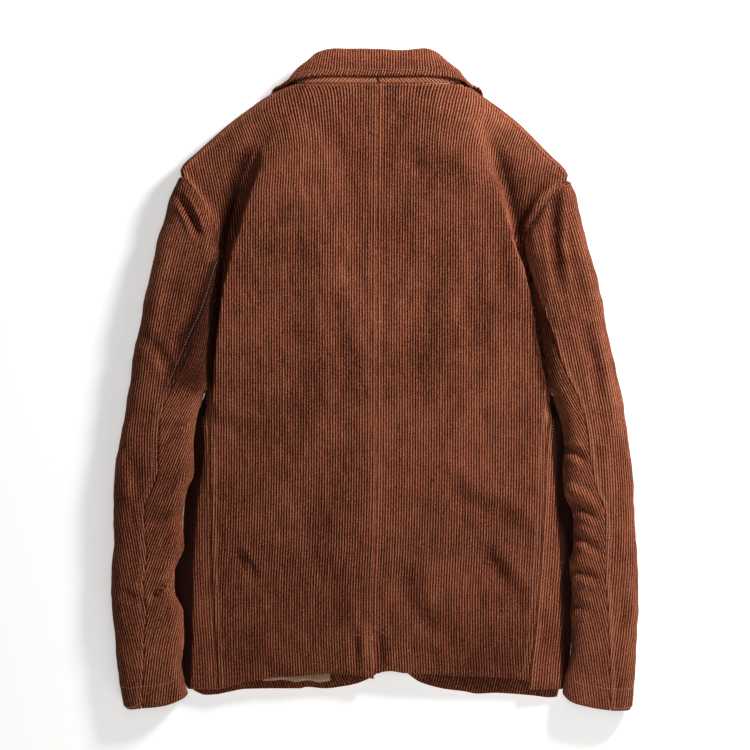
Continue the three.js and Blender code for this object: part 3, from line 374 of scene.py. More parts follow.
# ---- reading the tables --------------------------------------------------------------------------
def curve(xs, ys):
    xs, ys = np.array(xs, float), np.array(ys, float)
    h = np.diff(xs)
    d = np.diff(ys) / h
    m = np.zeros(len(xs))
    for i in range(1, len(xs) - 1):
        if d[i - 1] * d[i] > 0:
            m[i] = 3 * (h[i - 1] + h[i]) / ((2 * h[i] + h[i - 1]) / d[i - 1] + (h[i] + 2 * h[i - 1]) / d[i])
    m[0], m[-1] = d[0], d[-1]

    def f(x):
        x = np.clip(np.asarray(x, float), xs[0], xs[-1])
        i = np.clip(np.searchsorted(xs, x, side="right") - 1, 0, len(xs) - 2)
        hh = xs[i + 1] - xs[i]
        t = (x - xs[i]) / hh
        u = 1 - t
        return ys[i] * (1 + 2 * t) * u * u + m[i] * hh * t * u * u + ys[i + 1] * t * t * (3 - 2 * t) - m[i + 1] * hh * t * t * u
    return f


class Table:
    def __init__(self, spec):
        names, rows = spec
        names = names.split()
        for k, n in enumerate(names[1:], 1):
            setattr(self, n, curve([r[0] for r in rows], [r[k] for r in rows]))
        self.rows, self.names = rows, names


def lerp(a, b, t):
    return a + (b - a) * t


def clamp(t):
    return np.clip(t, 0.0, 1.0)


def smooth(t):
    t = clamp(t)
    return t * t * (3 - 2 * t)


def place(x, down, z):
    return np.stack([np.asarray(x) * G, (TOP_DOWN - np.asarray(down)) * G, np.asarray(z) + 0 * np.asarray(x)], -1)


def soft_noise(x, y, seed, scale):
    """smooth repeatable variation between about -1 and 1, x and y in mm"""
    rng = np.random.RandomState(seed)
    out = np.zeros(np.shape(x))
    total = 0.0
    for k in range(7):
        a = rng.uniform(0, 2 * math.pi)
        f = (1.0 + 1.9 * rng.rand()) / scale
        w = 1.0 / (1 + 0.5 * k)
        out += w * np.sin(2 * math.pi * f * (x * math.cos(a) + y * math.sin(a)) + rng.uniform(0, 6.28))
        total += w
    return out / total * 1.6


def creases(x, y, rows):
    """x and y in mm; each row: width and height in mm, then the crease's points in grid squares (x right, down)"""
    out = np.zeros(np.shape(x))
    for width, height, *pts in rows:
        p = np.array([[a * G, (TOP_DOWN - b) * G] for a, b in pts])
        best = np.full(np.shape(x), 1e9)
        along = np.zeros(np.shape(x))
        seg = np.hypot(*(p[1:] - p[:-1]).T)
        total = seg.sum()
        run = 0.0
        for k in range(len(p) - 1):
            d = (p[k + 1] - p[k]) / seg[k]
            t = np.clip((x - p[k, 0]) * d[0] + (y - p[k, 1]) * d[1], 0, seg[k])
            r = np.hypot(x - p[k, 0] - t * d[0], y - p[k, 1] - t * d[1])
            near = r < best
            best = np.where(near, r, best)
            along = np.where(near, run + t, along)
            run += seg[k]
        e = along / total
        end = 0.25 + 0.75 * np.sin(np.pi * np.clip(e, 0, 1)) ** 0.6
        s = best / width
        shape = np.exp(-s * s) - 0.35 * np.exp(-((s - 1.9) / 0.75) ** 2)
        out += height * end * shape
    return out


# ---- a piece of cloth ----------------------------------------------------------------------------
CORD_HEIGHT = 0.55


def normals(P, outside):
    a = np.empty_like(P)
    a[:, 1:-1] = P[:, 2:] - P[:, :-2]
    a[:, 0], a[:, -1] = P[:, 1] - P[:, 0], P[:, -1] - P[:, -2]
    b = np.empty_like(P)
    b[1:-1] = P[2:] - P[:-2]
    b[0], b[-1] = P[1] - P[0], P[-1] - P[-2]
    n = np.cross(a, b) * outside
    n /= np.maximum(np.linalg.norm(n, axis=-1, keepdims=True), 1e-9)
    return n, a / np.maximum(np.linalg.norm(a, axis=-1, keepdims=True), 1e-9), b / np.maximum(np.linalg.norm(b, axis=-1, keepdims=True), 1e-9)


def arcs(P):
    """mm along the rows and along the columns from their first point"""
    a = np.concatenate([np.zeros((P.shape[0], 1)), np.cumsum(np.linalg.norm(np.diff(P, axis=1), axis=-1), axis=1)], 1)
    b = np.concatenate([np.zeros((1, P.shape[1])), np.cumsum(np.linalg.norm(np.diff(P, axis=0), axis=-1), axis=0)], 0)
    return a, b


def edge_profile(d, kind, along, seed):
    """height of the cloth near one of its edges: d mm in from the edge, along mm along it"""
    if kind == "seam":          # pressed seam, edge rolls down into it
        return -0.3 * np.exp(-(d / 0.6) ** 2) + 0.25 * np.exp(-((d - 2.2) / 1.3) ** 2)
    if kind == "topstitch":     # the same with a row of stitches 6 mm in, cloth puckered between
        pull = np.exp(-((d - 6.2) / 1.3) ** 2)
        pucker = np.sin(along / 1.15 + 1.3 * np.sin(along / 9.0 + seed)) * np.exp(-((d - 3.4) / 3.0) ** 2)
        return -0.25 * np.exp(-(d / 0.5) ** 2) - 0.28 * pull + 0.7 * np.exp(-((d - 2.4) / 1.9) ** 2) + 0.5 * pucker
    if kind == "hem":           # turned edge, rounded over, thicker for the turn-up
        return -1.0 * np.exp(-(d / 1.5) ** 2) + 0.25 * smooth(1 - d / 36.0) * smooth(d / 3)
    return 0 * d


STITCHES = {}


def panel(name, P, thick, outside, U, V, ki, kj, material, edges=("seam",) * 4, folds=None, wave=0.5, seed=1, floor=False, cords=1.0, lines=(), painted_light_and_shade=None):
    """P: grid of outer points in mm (down, across); U, V: grid squares across and along the cords"""
    n, ta, tb = normals(P, outside)
    A, B = arcs(P)
    Ae, Be = A[:, -1:] - A, B[-1:] - B
    D = np.zeros(P.shape[:2])
    for kind, d, along, s in ((edges[0], A, B, 0), (edges[1], Ae, B, 1), (edges[2], B, A, 2), (edges[3], Be, A, 3)):
        D += edge_profile(d, kind, along, s + seed)
    rim = smooth(np.minimum(np.minimum(A, Ae), np.minimum(B, Be)) / 14.0)
    if wave:
        D += wave * rim * (soft_noise(P[..., 0], P[..., 1], seed, 95.0) + 0.45 * soft_noise(P[..., 0], P[..., 1], seed + 50, 38.0))
    if folds is not None:
        D += folds(P, rim)
    base = P + n * D[..., None]
    n2, _, _ = normals(base, outside)
    cord = CORD_HEIGHT * cords * (0.5 + 0.5 * np.cos(2 * np.pi * (U / WALE))) * smooth(np.minimum(np.minimum(A, Ae), np.minimum(B, Be)) / 1.2)
    outer = base + n2 * (cord - CORD_HEIGHT * cords * 0.5)[..., None]
    if floor:
        outer[..., 2] = np.maximum(outer[..., 2], 0.0)
        base[..., 2] = np.maximum(base[..., 2], 0.0)
    ic, jc = np.arange(0, P.shape[1], ki), np.arange(0, P.shape[0], kj)
    inner = (base - n * thick)[np.ix_(jc, ic)]
    ea, eb = ta[np.ix_(jc, ic)], tb[np.ix_(jc, ic)]
    bev = 0.6
    inner[:, 0] += ea[:, 0] * bev
    inner[:, -1] -= ea[:, -1] * bev
    inner[0] += eb[0] * bev
    inner[-1] -= eb[-1] * bev
    inner[..., 2] = np.maximum(inner[..., 2], 0.0)
    nj, ni = P.shape[0] - 1, P.shape[1] - 1
    mj, mi = len(jc) - 1, len(ic) - 1
    M = (nj + 1) * (ni + 1)
    idx = np.arange(M).reshape(nj + 1, ni + 1)
    idc = M + np.arange((mj + 1) * (mi + 1)).reshape(mj + 1, mi + 1)
    quads = np.stack([idx[:-1, :-1], idx[:-1, 1:], idx[1:, 1:], idx[1:, :-1]], -1).reshape(-1, 4)
    inq = np.stack([idc[:-1, :-1], idc[1:, :-1], idc[1:, 1:], idc[:-1, 1:]], -1).reshape(-1, 4)
    if outside < 0:
        quads, inq = quads[:, ::-1], inq[:, ::-1]
    rims, rim_uv = [], []

    def strip(fine, coarse, k, flip, u0):
        m = len(coarse) - 1
        for c in range(m):
            f = list(fine[c * k:(c + 1) * k + 1])
            ring = f + [int(coarse[c + 1]), int(coarse[c])]
            v0, v1 = 0.5 + 0.45 * c / m, 0.5 + 0.45 * (c + 0.92) / m
            uv = [(u0, lerp(v0, v1, q / k)) for q in range(k + 1)] + [(u0 + 0.012, v1), (u0 + 0.012, v0)]
            if flip:
                ring, uv = ring[::-1], uv[::-1]
            rims.append([int(q) for q in ring])
            rim_uv.extend(uv)
    o = outside < 0
    strip(idx[0], idc[0], ki, not o, 0.912)
    strip(idx[-1], idc[-1], ki, o, 0.932)
    strip(idx[:, 0], idc[:, 0], kj, o, 0.952)
    strip(idx[:, -1], idc[:, -1], kj, not o, 0.972)
    faces = quads.tolist() + inq.tolist() + rims
    verts = np.concatenate([outer.reshape(-1, 3), inner.reshape(-1, 3)]) / 1000.0
    me = bpy.data.meshes.new(name + "_cloth")
    me.from_pydata(verts.tolist(), [], faces)
    me.polygons.foreach_set("use_smooth", [True] * len(faces))
    Wu = np.concatenate([(U / WALE).reshape(-1), (U / WALE)[np.ix_(jc, ic)].reshape(-1)])
    Wv = np.concatenate([(V * G / 10).reshape(-1), (V * G / 10)[np.ix_(jc, ic)].reshape(-1)])
    loops = np.concatenate([quads.reshape(-1), inq.reshape(-1), np.array([q for r in rims for q in r])]).astype(int)
    uvw = me.uv_layers.new(name="cords")
    uvw.data.foreach_set("uv", np.stack([Wu[loops], Wv[loops]], -1).reshape(-1))
    ju, iu = np.meshgrid(np.arange(nj + 1) / nj, np.arange(ni + 1) / ni, indexing="ij")
    bo = np.stack([0.9 * iu, ju], -1).reshape(-1, 2)
    jv, iv = np.meshgrid(np.arange(mj + 1) / mj, np.arange(mi + 1) / mi, indexing="ij")
    bi = np.stack([0.912 + 0.08 * iv, 0.47 * jv], -1).reshape(-1, 2)
    ball = np.concatenate([bo, bi])
    grid_loops = np.concatenate([quads.reshape(-1), inq.reshape(-1)]).astype(int)
    uvb = me.uv_layers.new(name="OFBake")
    uvb.data.foreach_set("uv", np.concatenate([ball[grid_loops], np.array(rim_uv)]).reshape(-1))
    w = np.zeros(len(verts))
    # painted light and shade per point, added to the cord colour: lighter above 0, darker below; inner faces darker
    # by 0.35
    if painted_light_and_shade is not None:
        w[:M] = painted_light_and_shade(P, A, Ae, B, Be).reshape(-1)
        w[M:] = -0.35
    at = me.attributes.new("painted_light_and_shade", "FLOAT", "POINT")
    at.data.foreach_set("value", w)
    me.update()
    me.validate(verbose=False)
    ob = bpy.data.objects.new(name + "_soft", me)
    bpy.context.scene.collection.objects.link(ob)
    me.materials.append(material)
    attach(ob, "root")
    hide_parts(name)
    # rows of stitches: (edge, distance in mm, from, to) with edge 0..3 as in edges
    for edge, dist, t0, t1 in lines:
        if edge in (0, 1):
            track, tn = [], []
            q = A if edge == 0 else Ae
            for j in range(nj + 1):
                col = q[j] if edge == 0 else q[j][::-1]
                row = base[j] if edge == 0 else base[j][::-1]
                rn = n2[j] if edge == 0 else n2[j][::-1]
                track.append([np.interp(dist, col, row[:, k]) for k in range(3)])
                tn.append([np.interp(dist, col, rn[:, k]) for k in range(3)])
        else:
            track, tn = [], []
            q = B if edge == 2 else Be
            for i in range(ni + 1):
                col = q[:, i] if edge == 2 else q[::-1, i]
                row = base[:, i] if edge == 2 else base[::-1, i]
                rn = n2[:, i] if edge == 2 else n2[::-1, i]
                track.append([np.interp(dist, col, row[:, k]) for k in range(3)])
                tn.append([np.interp(dist, col, rn[:, k]) for k in range(3)])
        stitch_row(np.array(track), np.array(tn), t0, t1)
    GRIDS[name] = (base, n2)
    return ob


GRIDS = {}
STITCH_LIST = []
STITCH_PITCH, STITCH_LEN, STITCH_R = 3.5, 2.6, 0.36


def stitch_row(track, tn, t0=0.0, t1=1.0):
    s = np.concatenate([[0], np.cumsum(np.linalg.norm(np.diff(track, axis=0), axis=1))])
    a, b = t0 * s[-1], t1 * s[-1]
    for c in np.arange(a + STITCH_PITCH / 2, b, STITCH_PITCH):
        p = [np.array([np.interp(c + e, s, track[:, k]) for k in range(3)]) for e in (-STITCH_LEN / 2, 0, STITCH_LEN / 2)]
        nn = np.array([np.interp(c, s, tn[:, k]) for k in range(3)])
        STITCH_LIST.append((p[0], p[2], nn / max(np.linalg.norm(nn), 1e-9)))


def stitch_path(name, pts):
    """a row of stitches along points given in grid squares, laid on a piece's upper face"""
    base, nn = GRIDS[name]
    flat, fn = base.reshape(-1, 3), nn.reshape(-1, 3)
    up = fn[:, 2] > 0.15
    flat, fn = flat[up], fn[up]
    track, tn = [], []
    for k in range(len(pts) - 1):
        for e in np.linspace(0, 1, 9)[(0 if k == 0 else 1):]:
            x, y = lerp(pts[k][0], pts[k + 1][0], e) * G, (TOP_DOWN - lerp(pts[k][1], pts[k + 1][1], e)) * G
            q = int(np.argmin((flat[:, 0] - x) ** 2 + (flat[:, 1] - y) ** 2))
            track.append([x, y, flat[q, 2]])
            tn.append(fn[q])
    stitch_row(np.array(track), np.array(tn))


def build_stitches(material):
    ring = 5
    V, F = [], []
    for a, b, nn in STITCH_LIST:
        d = b - a
        L = np.linalg.norm(d)
        if L < 1e-6:
            continue
        d = d / L
        side = np.cross(d, nn)
        side /= max(np.linalg.norm(side), 1e-9)
        up = np.cross(side, d)
        start = len(V)
        rows = ((0.0, 0.35, -0.25), (0.22, 1.0, 0.12), (0.78, 1.0, 0.12), (1.0, 0.35, -0.25))
        for t, r, h in rows:
            c = a + d * L * t + up * (h + 0.05)
            for k in range(ring):
                ang = 2 * math.pi * k / ring
                V.append(c + (side * math.cos(ang) + up * math.sin(ang)) * STITCH_R * r)
        for q in range(3):
            for k in range(ring):
                F.append([start + q * ring + k, start + q * ring + (k + 1) % ring, start + (q + 1) * ring + (k + 1) % ring, start + (q + 1) * ring + k])
        F.append([start + k for k in range(ring)][::-1])
        F.append([start + 3 * ring + k for k in range(ring)])
    V = np.array(V) / 1000.0
    V[:, 2] = np.maximum(V[:, 2], 0.0)
    me = bpy.data.meshes.new("topstitching")
    me.from_pydata(V.tolist(), [], F)
    me.polygons.foreach_set("use_smooth", [True] * len(F))
    me.update()
    ob = bpy.data.objects.new("topstitching", me)
    bpy.context.scene.collection.objects.link(ob)
    me.materials.append(material)
    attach(ob, "root")
    print("STITCHES", len(STITCH_LIST), "faces", len(F))
    return ob


# ---- materials -----------------------------------------------------------------------------------
def node(nt, kind, **kw):
    nd = nt.nodes.new(kind)
    for k, v in kw.items():
        if k in nd.inputs:
            nd.inputs[k].default_value = v
        else:
            setattr(nd, k, v)
    return nd


def math_node(nt, op, a, b=None, c=None, clampit=False):
    nd = nt.nodes.new("ShaderNodeMath")
    nd.operation = op
    nd.use_clamp = clampit
    for k, v in enumerate((a, b, c)):
        if v is None:
            continue
        if isinstance(v, (int, float)):
            nd.inputs[k].default_value = v
        else:
            nt.links.new(v, nd.inputs[k])
    return nd.outputs[0]


def corduroy(name, groove, middle, ridge, gain=1.0, slant=0.0):
    mat = bpy.data.materials.new(name)
    mat.use_nodes = True
    nt = mat.node_tree
    nt.nodes.clear()
    out = nt.nodes.new("ShaderNodeOutputMaterial")
    bsdf = nt.nodes.new("ShaderNodeBsdfPrincipled")
    nt.links.new(bsdf.outputs[0], out.inputs[0])
    bsdf.inputs["Roughness"].default_value = 0.92
    bsdf.inputs["Specular IOR Level"].default_value = 0.15
    bsdf.inputs["Sheen Weight"].default_value = 0.22
    bsdf.inputs["Sheen Roughness"].default_value = 0.45
    bsdf.inputs["Sheen Tint"].default_value = (0.95, 0.44, 0.28, 1)
    uv = node(nt, "ShaderNodeUVMap", uv_map="cords")
    sep = nt.nodes.new("ShaderNodeSeparateXYZ")
    nt.links.new(uv.outputs[0], sep.inputs[0])
    u, v = sep.outputs[0], sep.outputs[1]
    tex = nt.nodes.new("ShaderNodeTexCoord")
    # each cord wanders a little and differs from the next
    wob = node(nt, "ShaderNodeTexNoise", Scale=1.0, Detail=2.0)
    cv = nt.nodes.new("ShaderNodeCombineXYZ")
    nt.links.new(math_node(nt, "MULTIPLY", u, 0.35), cv.inputs[0])
    nt.links.new(math_node(nt, "MULTIPLY", v, 0.9), cv.inputs[1])
    nt.links.new(cv.outputs[0], wob.inputs["Vector"])
    uu = math_node(nt, "ADD", u, math_node(nt, "MULTIPLY", math_node(nt, "SUBTRACT", wob.outputs["Fac"], 0.5), 0.42))
    fr = math_node(nt, "FRACT", math_node(nt, "ADD", uu, 0.5))
    dist = math_node(nt, "MULTIPLY", math_node(nt, "ABSOLUTE", math_node(nt, "SUBTRACT", fr, 0.5)), 2.0)   # 0 on the ridge, 1 in the groove
    height = math_node(nt, "ADD", 0.5, math_node(nt, "MULTIPLY", math_node(nt, "COSINE", math_node(nt, "MULTIPLY", dist, math.pi)), 0.5))
    # pile: fine tufts across each cord, streaks along it, broad shading where the nap lies another way
    c1 = nt.nodes.new("ShaderNodeCombineXYZ")
    nt.links.new(math_node(nt, "MULTIPLY", u, 2.6), c1.inputs[0])
    nt.links.new(math_node(nt, "MULTIPLY", v, 7.0), c1.inputs[1])
    tuft = node(nt, "ShaderNodeTexNoise", Scale=1.0, Detail=3.0, Roughness=0.65)
    nt.links.new(c1.outputs[0], tuft.inputs["Vector"])
    c2 = nt.nodes.new("ShaderNodeCombineXYZ")
    nt.links.new(math_node(nt, "MULTIPLY", u, 1.1), c2.inputs[0])
    nt.links.new(math_node(nt, "MULTIPLY", v, 0.28), c2.inputs[1])
    streak = node(nt, "ShaderNodeTexNoise", Scale=1.0, Detail=2.0, Roughness=0.5)
    nt.links.new(c2.outputs[0], streak.inputs["Vector"])
    patch = node(nt, "ShaderNodeTexNoise", Scale=11.0, Detail=4.0, Roughness=0.6)
    nt.links.new(tex.outputs["Object"], patch.inputs["Vector"])
    # painted light and shade, read from the point attribute
    painted_light_and_shade = node(nt, "ShaderNodeAttribute", attribute_name="painted_light_and_shade")
    fleck = node(nt, "ShaderNodeTexNoise", Scale=520.0, Detail=2.0, Roughness=0.7)
    nt.links.new(tex.outputs["Object"], fleck.inputs["Vector"])
    # colour from groove to ridge with the cord's height: the pile's own tone, with painted shade in the grooves and
    # painted highlight on the ridges
    fac = math_node(nt, "MULTIPLY", height, 0.92)
    fac = math_node(nt, "ADD", fac, math_node(nt, "MULTIPLY", math_node(nt, "SUBTRACT", fleck.outputs["Fac"], 0.5), 1.4))
    fac = math_node(nt, "ADD", fac, math_node(nt, "MULTIPLY", math_node(nt, "SUBTRACT", tuft.outputs["Fac"], 0.5), 1.45))
    fac = math_node(nt, "ADD", fac, math_node(nt, "MULTIPLY", math_node(nt, "SUBTRACT", streak.outputs["Fac"], 0.5), 0.6))
    fac = math_node(nt, "ADD", fac, math_node(nt, "MULTIPLY", math_node(nt, "SUBTRACT", patch.outputs["Fac"], 0.5), 0.7))
    # painted light and shade lift or darken the cord colour
    fac = math_node(nt, "ADD", fac, math_node(nt, "MULTIPLY", painted_light_and_shade.outputs["Fac"], 0.5))
    fac = math_node(nt, "ADD", fac, -0.04, clampit=True)
    ramp = nt.nodes.new("ShaderNodeValToRGB")
    e = ramp.color_ramp.elements
    e[0].position, e[0].color = 0.0, (*[c * gain for c in groove], 1)
    e[1].position, e[1].color = 1.0, (*[c * gain for c in ridge], 1)
    mid = ramp.color_ramp.elements.new(0.45)
    mid.color = (*[c * gain for c in middle], 1)
    nt.links.new(fac, ramp.inputs[0])
    nt.links.new(ramp.outputs[0], bsdf.inputs["Base Color"])
    bh = math_node(nt, "ADD", height, math_node(nt, "MULTIPLY", tuft.outputs["Fac"], 0.7))
    bump = node(nt, "ShaderNodeBump", Strength=0.75, Distance=0.0005)
    nt.links.new(bh, bump.inputs["Height"])
    nt.links.new(bump.outputs[0], bsdf.inputs["Normal"])
    return mat


def plain_weave(name, base, dark, scale=900.0):
    mat = bpy.data.materials.new(name)
    mat.use_nodes = True
    nt = mat.node_tree
    bsdf = nt.nodes["Principled BSDF"]
    bsdf.inputs["Roughness"].default_value = 0.55
    bsdf.inputs["Sheen Weight"].default_value = 0.2
    tex = nt.nodes.new("ShaderNodeTexCoord")
    wv = node(nt, "ShaderNodeTexWave", Scale=scale / 3, Distortion=1.5, Detail=2.0)
    nz = node(nt, "ShaderNodeTexNoise", Scale=60.0, Detail=5.0)
    nt.links.new(tex.outputs["Object"], wv.inputs["Vector"])
    nt.links.new(tex.outputs["Object"], nz.inputs["Vector"])
    mix = math_node(nt, "ADD", math_node(nt, "MULTIPLY", wv.outputs["Fac"], 0.4), math_node(nt, "MULTIPLY", nz.outputs["Fac"], 0.7), clampit=True)
    ramp = nt.nodes.new("ShaderNodeValToRGB")
    ramp.color_ramp.elements[0].color = (*dark, 1)
    ramp.color_ramp.elements[1].color = (*base, 1)
    nt.links.new(mix, ramp.inputs[0])
    nt.links.new(ramp.outputs[0], bsdf.inputs["Base Color"])
    bump = node(nt, "ShaderNodeBump", Strength=0.4, Distance=0.0002)
    nt.links.new(mix, bump.inputs["Height"])
    nt.links.new(bump.outputs[0], bsdf.inputs["Normal"])
    return mat


# groove, middle and ridge colours of the cords: the pile's brown, with painted shade taking the grooves near black
# and painted highlight lightening the ridges
GROOVE, MIDDLE, RIDGE = (0.022, 0.0034, 0.0014), (0.172, 0.0365, 0.0145), (0.480, 0.1680, 0.0880)
CORD = corduroy("corduroy_brown", GROOVE, MIDDLE, RIDGE)
# the collar's corduroy is the same cloth made 8% lighter: painted light
CORD_COLLAR_PAINTED_LIGHT = corduroy("corduroy_collar_painted_light", GROOVE, MIDDLE, RIDGE, gain=1.08)
THREAD = plain_weave("thread_brown", (0.52, 0.26, 0.16), (0.26, 0.10, 0.055))
LINING_MAT = plain_weave("lining_cream", (0.62, 0.42, 0.24), (0.36, 0.21, 0.10))

# ---- back ----------------------------------------------------------------------------------------
T_CENTRE, T_BL, T_BR = Table(CENTRE), Table(BACK_LEFT), Table(BACK_RIGHT)
T_FL, T_FR = Table(FRONT_LEFT), Table(FRONT_RIGHT)
hem_back = curve(*zip(*HEM_BACK[1]))
gap = 0.06 / G / 2          # seams lie all but closed here, 0.3 mm apart in the part


def stretch(down, last, hem):
    return np.where(down <= VENT, down, VENT + (down - VENT) * (hem - VENT) / (last - VENT))


def section(stations, count, dense=900, longest=None):
    """points along a smooth line through a row's stations (x grid, z mm), at distances kept from row to row
    so that the columns follow the cords; what is left over is gathered in the last tenth"""
    st = np.array(stations, float)
    step = np.maximum(0.5, np.hypot(np.diff(st[:, 0]), np.diff(st[:, 1]) / G))
    t = np.concatenate([[0], np.cumsum(step)])
    q = np.linspace(0, t[-1], dense)
    x, z = curve(t, st[:, 0])(q), curve(t, st[:, 1])(q)
    s = np.concatenate([[0], np.cumsum(np.hypot(np.diff(x), np.diff(z) / G))])
    e = np.linspace(0, s[-1], count)
    if longest is not None and longest > s[-1] * 1.002:
        q = np.linspace(0, longest / s[-1], count)
        keep = 0.88
        m = (q[-1] - keep) / (1 - keep)
        r = np.clip((q - keep) / (q[-1] - keep), 0, 1)
        late = keep + (1 - keep) * (m * r + (1 - m) * (1 - (1 - r) ** (1.0)) if m < 1 else 1 - (1 - r) ** m)
        e = s[-1] * np.where(q < keep, q, late)
        e[-1] = s[-1]
    return np.interp(e, s, x), np.interp(e, s, z), e


def back_panel(name, t, side, ni, nj, ki, kj, folds, lines, edges):
    dense_rows = int(nj * 0.36)
    downs = np.concatenate([np.linspace(36, 156, dense_rows, endpoint=False), np.linspace(156, 642, nj + 1 - dense_rows)])
    X, Z, S = [], [], []
    for down in downs:
        row = [[T_CENTRE.seamX(down) + side * gap, T_CENTRE.seamZ(down)], [t.crestX(down), t.crestZ(down)], [t.edgeX(down), t.edgeZ(down)],
               [t.footX(down), t.footZ(down)], [t.riseX(down), t.riseZ(down)], [t.endX(down) - side * gap, t.endZ(down)]]
        x, z, e = section(row, ni + 1, longest=196.0)
        X.append(x), Z.append(z), S.append(e)
    X, Z, S = np.array(X), np.array(Z), np.array(S)
    D = np.repeat(downs[:, None], ni + 1, 1)
    if side > 0:                                  # the underlap of the vent, under the left panel
        seam = T_CENTRE.seamX(D)
        low = smooth((D - VENT) / 5.0)
        under = smooth((D - VENT - 5.0) / 6.0)
        near = np.clip(1 - S / 14.0, 0, 1)
        Z = Z - low * (CLOTH + 0.7) * smooth(1.25 * near)
        pull = np.clip(1 - S / 3.0, 0, 1)
        X = X - under * pull * 19
    Y = stretch(D, 642.0, hem_back(np.where(S < 4, T_CENTRE.seamX(D) + 4, X)) if side > 0 else hem_back(X))
    P = place(X, Y, Z)
    lean = curve([36, 64, 92, 104, 124, 142], [-12, -9, 0, 3, 3, 0])(D)
    total = S[:, -1:]
    U = S + lean * smooth((S / total - 0.15) / 0.85)
    if side > 0:
        U = U - under * pull * 19

    # painted light and shade on the back: highlights along seams, on the right blade and the armhole edge; shade in
    # the blade hollows, in creases and towards the hem
    def painted_light_and_shade(P, A, Ae, B, Be):
        X0 = P[..., 0] / G
        # lighter bands along the seams: painted highlight on the raised seam edges
        seam_highlight = 0.42 * np.exp(-((A - 3.0) / 2.6) ** 2) + 0.30 * np.exp(-((Ae - 4.0) / 4.0) ** 2) + 0.22 * np.exp(-((A - 7.5) / 1.2) ** 2) * (side < 0)
        # painted shade in the hollow between blade and armhole
        valley = curve(VALLEY[side][0], VALLEY[side][1])(D)
        inner = np.exp(-(((np.abs(X0) - valley) / np.where(np.abs(X0) > valley, VALLEY[side][3], 2.6)) ** 2)) * smooth((D - 84) / 40) * smooth((352 - D) / 22)
        # painted highlight on the right blade
        blade = 0.04 * np.exp(-((D - 80) / 34) ** 2) * np.exp(-((X0 - 92) / 30) ** 2)
        # painted shade in crease troughs, a little painted light on their ridges
        crease_shade = np.clip(-creases(P[..., 0], P[..., 1], [(r[0] * 2.1, r[1]) + tuple(r[2:]) for r in BACK_CREASES]) * 0.16, -0.12, 0.4)
        # painted highlight along the armhole edge, less the painted crease shade
        rim = 0.18 * np.exp(-(Ae / 1.6) ** 2) - crease_shade
        # painted shade darkening towards the hem
        return seam_highlight + blade + rim - VALLEY[side][2] * inner - 0.22 * smooth((D - 400) / 180)
    return panel(name, P, CLOTH, -side, U, Y, ki, kj, CORD, edges=edges, folds=folds, wave=1.35, seed=3 + side, lines=lines, painted_light_and_shade=painted_light_and_shade)


# the hollow between each blade and its armhole: down, distance from the centre, depth of shade, spread outwards
VALLEY = {-1: ([60, 84, 110, 150, 190, 240, 300, 350], [104, 112, 126, 141, 150, 155.5, 160.5, 163], 1.5, 9.0),
          1: ([60, 84, 110, 150, 190, 240, 300, 350], [106, 114, 126, 138, 146, 154.5, 162, 171], 1.1, 7.0)}


def g(x, y):
    return (x - 375.0, y - 48.0)


BACK_CREASES = [
    (3.6, -2.0, g(235, 552), g(247, 566), g(259, 580)),
    (5.5, -0.8, g(216, 423), g(245, 430), g(277, 433)),
    (6.0, -1.3, g(337, 585), g(337, 632)),
    (3.0, -0.9, g(222, 600), g(232, 607)),
    (6.0, -2.0, g(449, 477), g(464, 500), g(504, 514), g(524, 531)),
    (5.5, -1.7, g(474, 538), g(497, 567), g(511, 581)),
    (5.5, -1.6, g(482, 560), g(517, 592), g(525, 612)),
    (11.0, -1.7, g(511, 650), g(512, 672)),
    (6.5, 1.7, g(382, 587), g(403, 620), g(439, 649), g(452, 663)),
    (15.0, 1.6, g(455, 115), g(485, 150)),
    (5.5, -1.6, g(499, 240), g(503, 290)),
    (3.2, -1.8, g(356, 634), g(356, 668)),
    (3.4, 1.8, g(556, 189), g(542, 201), g(530, 221), g(521, 244)),
    (3.0, -1.7, g(545, 187), g(531, 201), g(519, 224), g(513, 243)),
    (3.4, 1.0, g(190, 186), g(203, 204), g(209, 222)),
    (7.0, -1.1, g(330, 300), g(345, 360), g(340, 420)),
    (9.0, -1.0, g(400, 160), g(440, 175), g(470, 200)),
    (8.0, 1.0, g(290, 130), g(320, 150), g(335, 200)),
    (10.0, -0.9, g(290, 215), g(300, 260), g(296, 290)),
    (9.0, -1.0, g(400, 560), g(410, 600), g(425, 640)),
    (8.0, -1.0, g(470, 300), g(480, 350), g(470, 400)),
    (4.0, -1.2, g(381, 637), g(381, 669)),
    (9.0, -1.0, g(300, 300), g(305, 380), g(298, 450)),
    (11.0, 0.9, g(330, 180), g(335, 300)),
    (12.0, -0.9, g(430, 250), g(425, 340), g(432, 420)),
    (8.0, -0.8, g(240, 640), g(262, 668)),
    (7.0, 0.9, g(290, 520), g(310, 600)),
]


def back_folds(P, rim):
    wide = [(row[0] * 1.55, row[1]) + tuple(row[2:]) for row in BACK_CREASES]
    return 1.9 * creases(P[..., 0], P[..., 1], wide) * rim


back_panel("back_left", T_BL, -1, 384, 200, 8, 5, back_folds,
           [(0, 6.0, 0.0, 1.0), (1, 6.2, 0.56, 1.0), (2, 2.5, 0, 1)], ("topstitch", "topstitch", "seam", "hem"))
back_panel("back_right", T_BR, 1, 384, 200, 8, 5, back_folds,
           [(1, 6.2, 0.16, 0.33), (1, 6.2, 0.5, 1.0), (2, 2.5, 0, 1)], ("seam", "topstitch", "seam", "hem"))


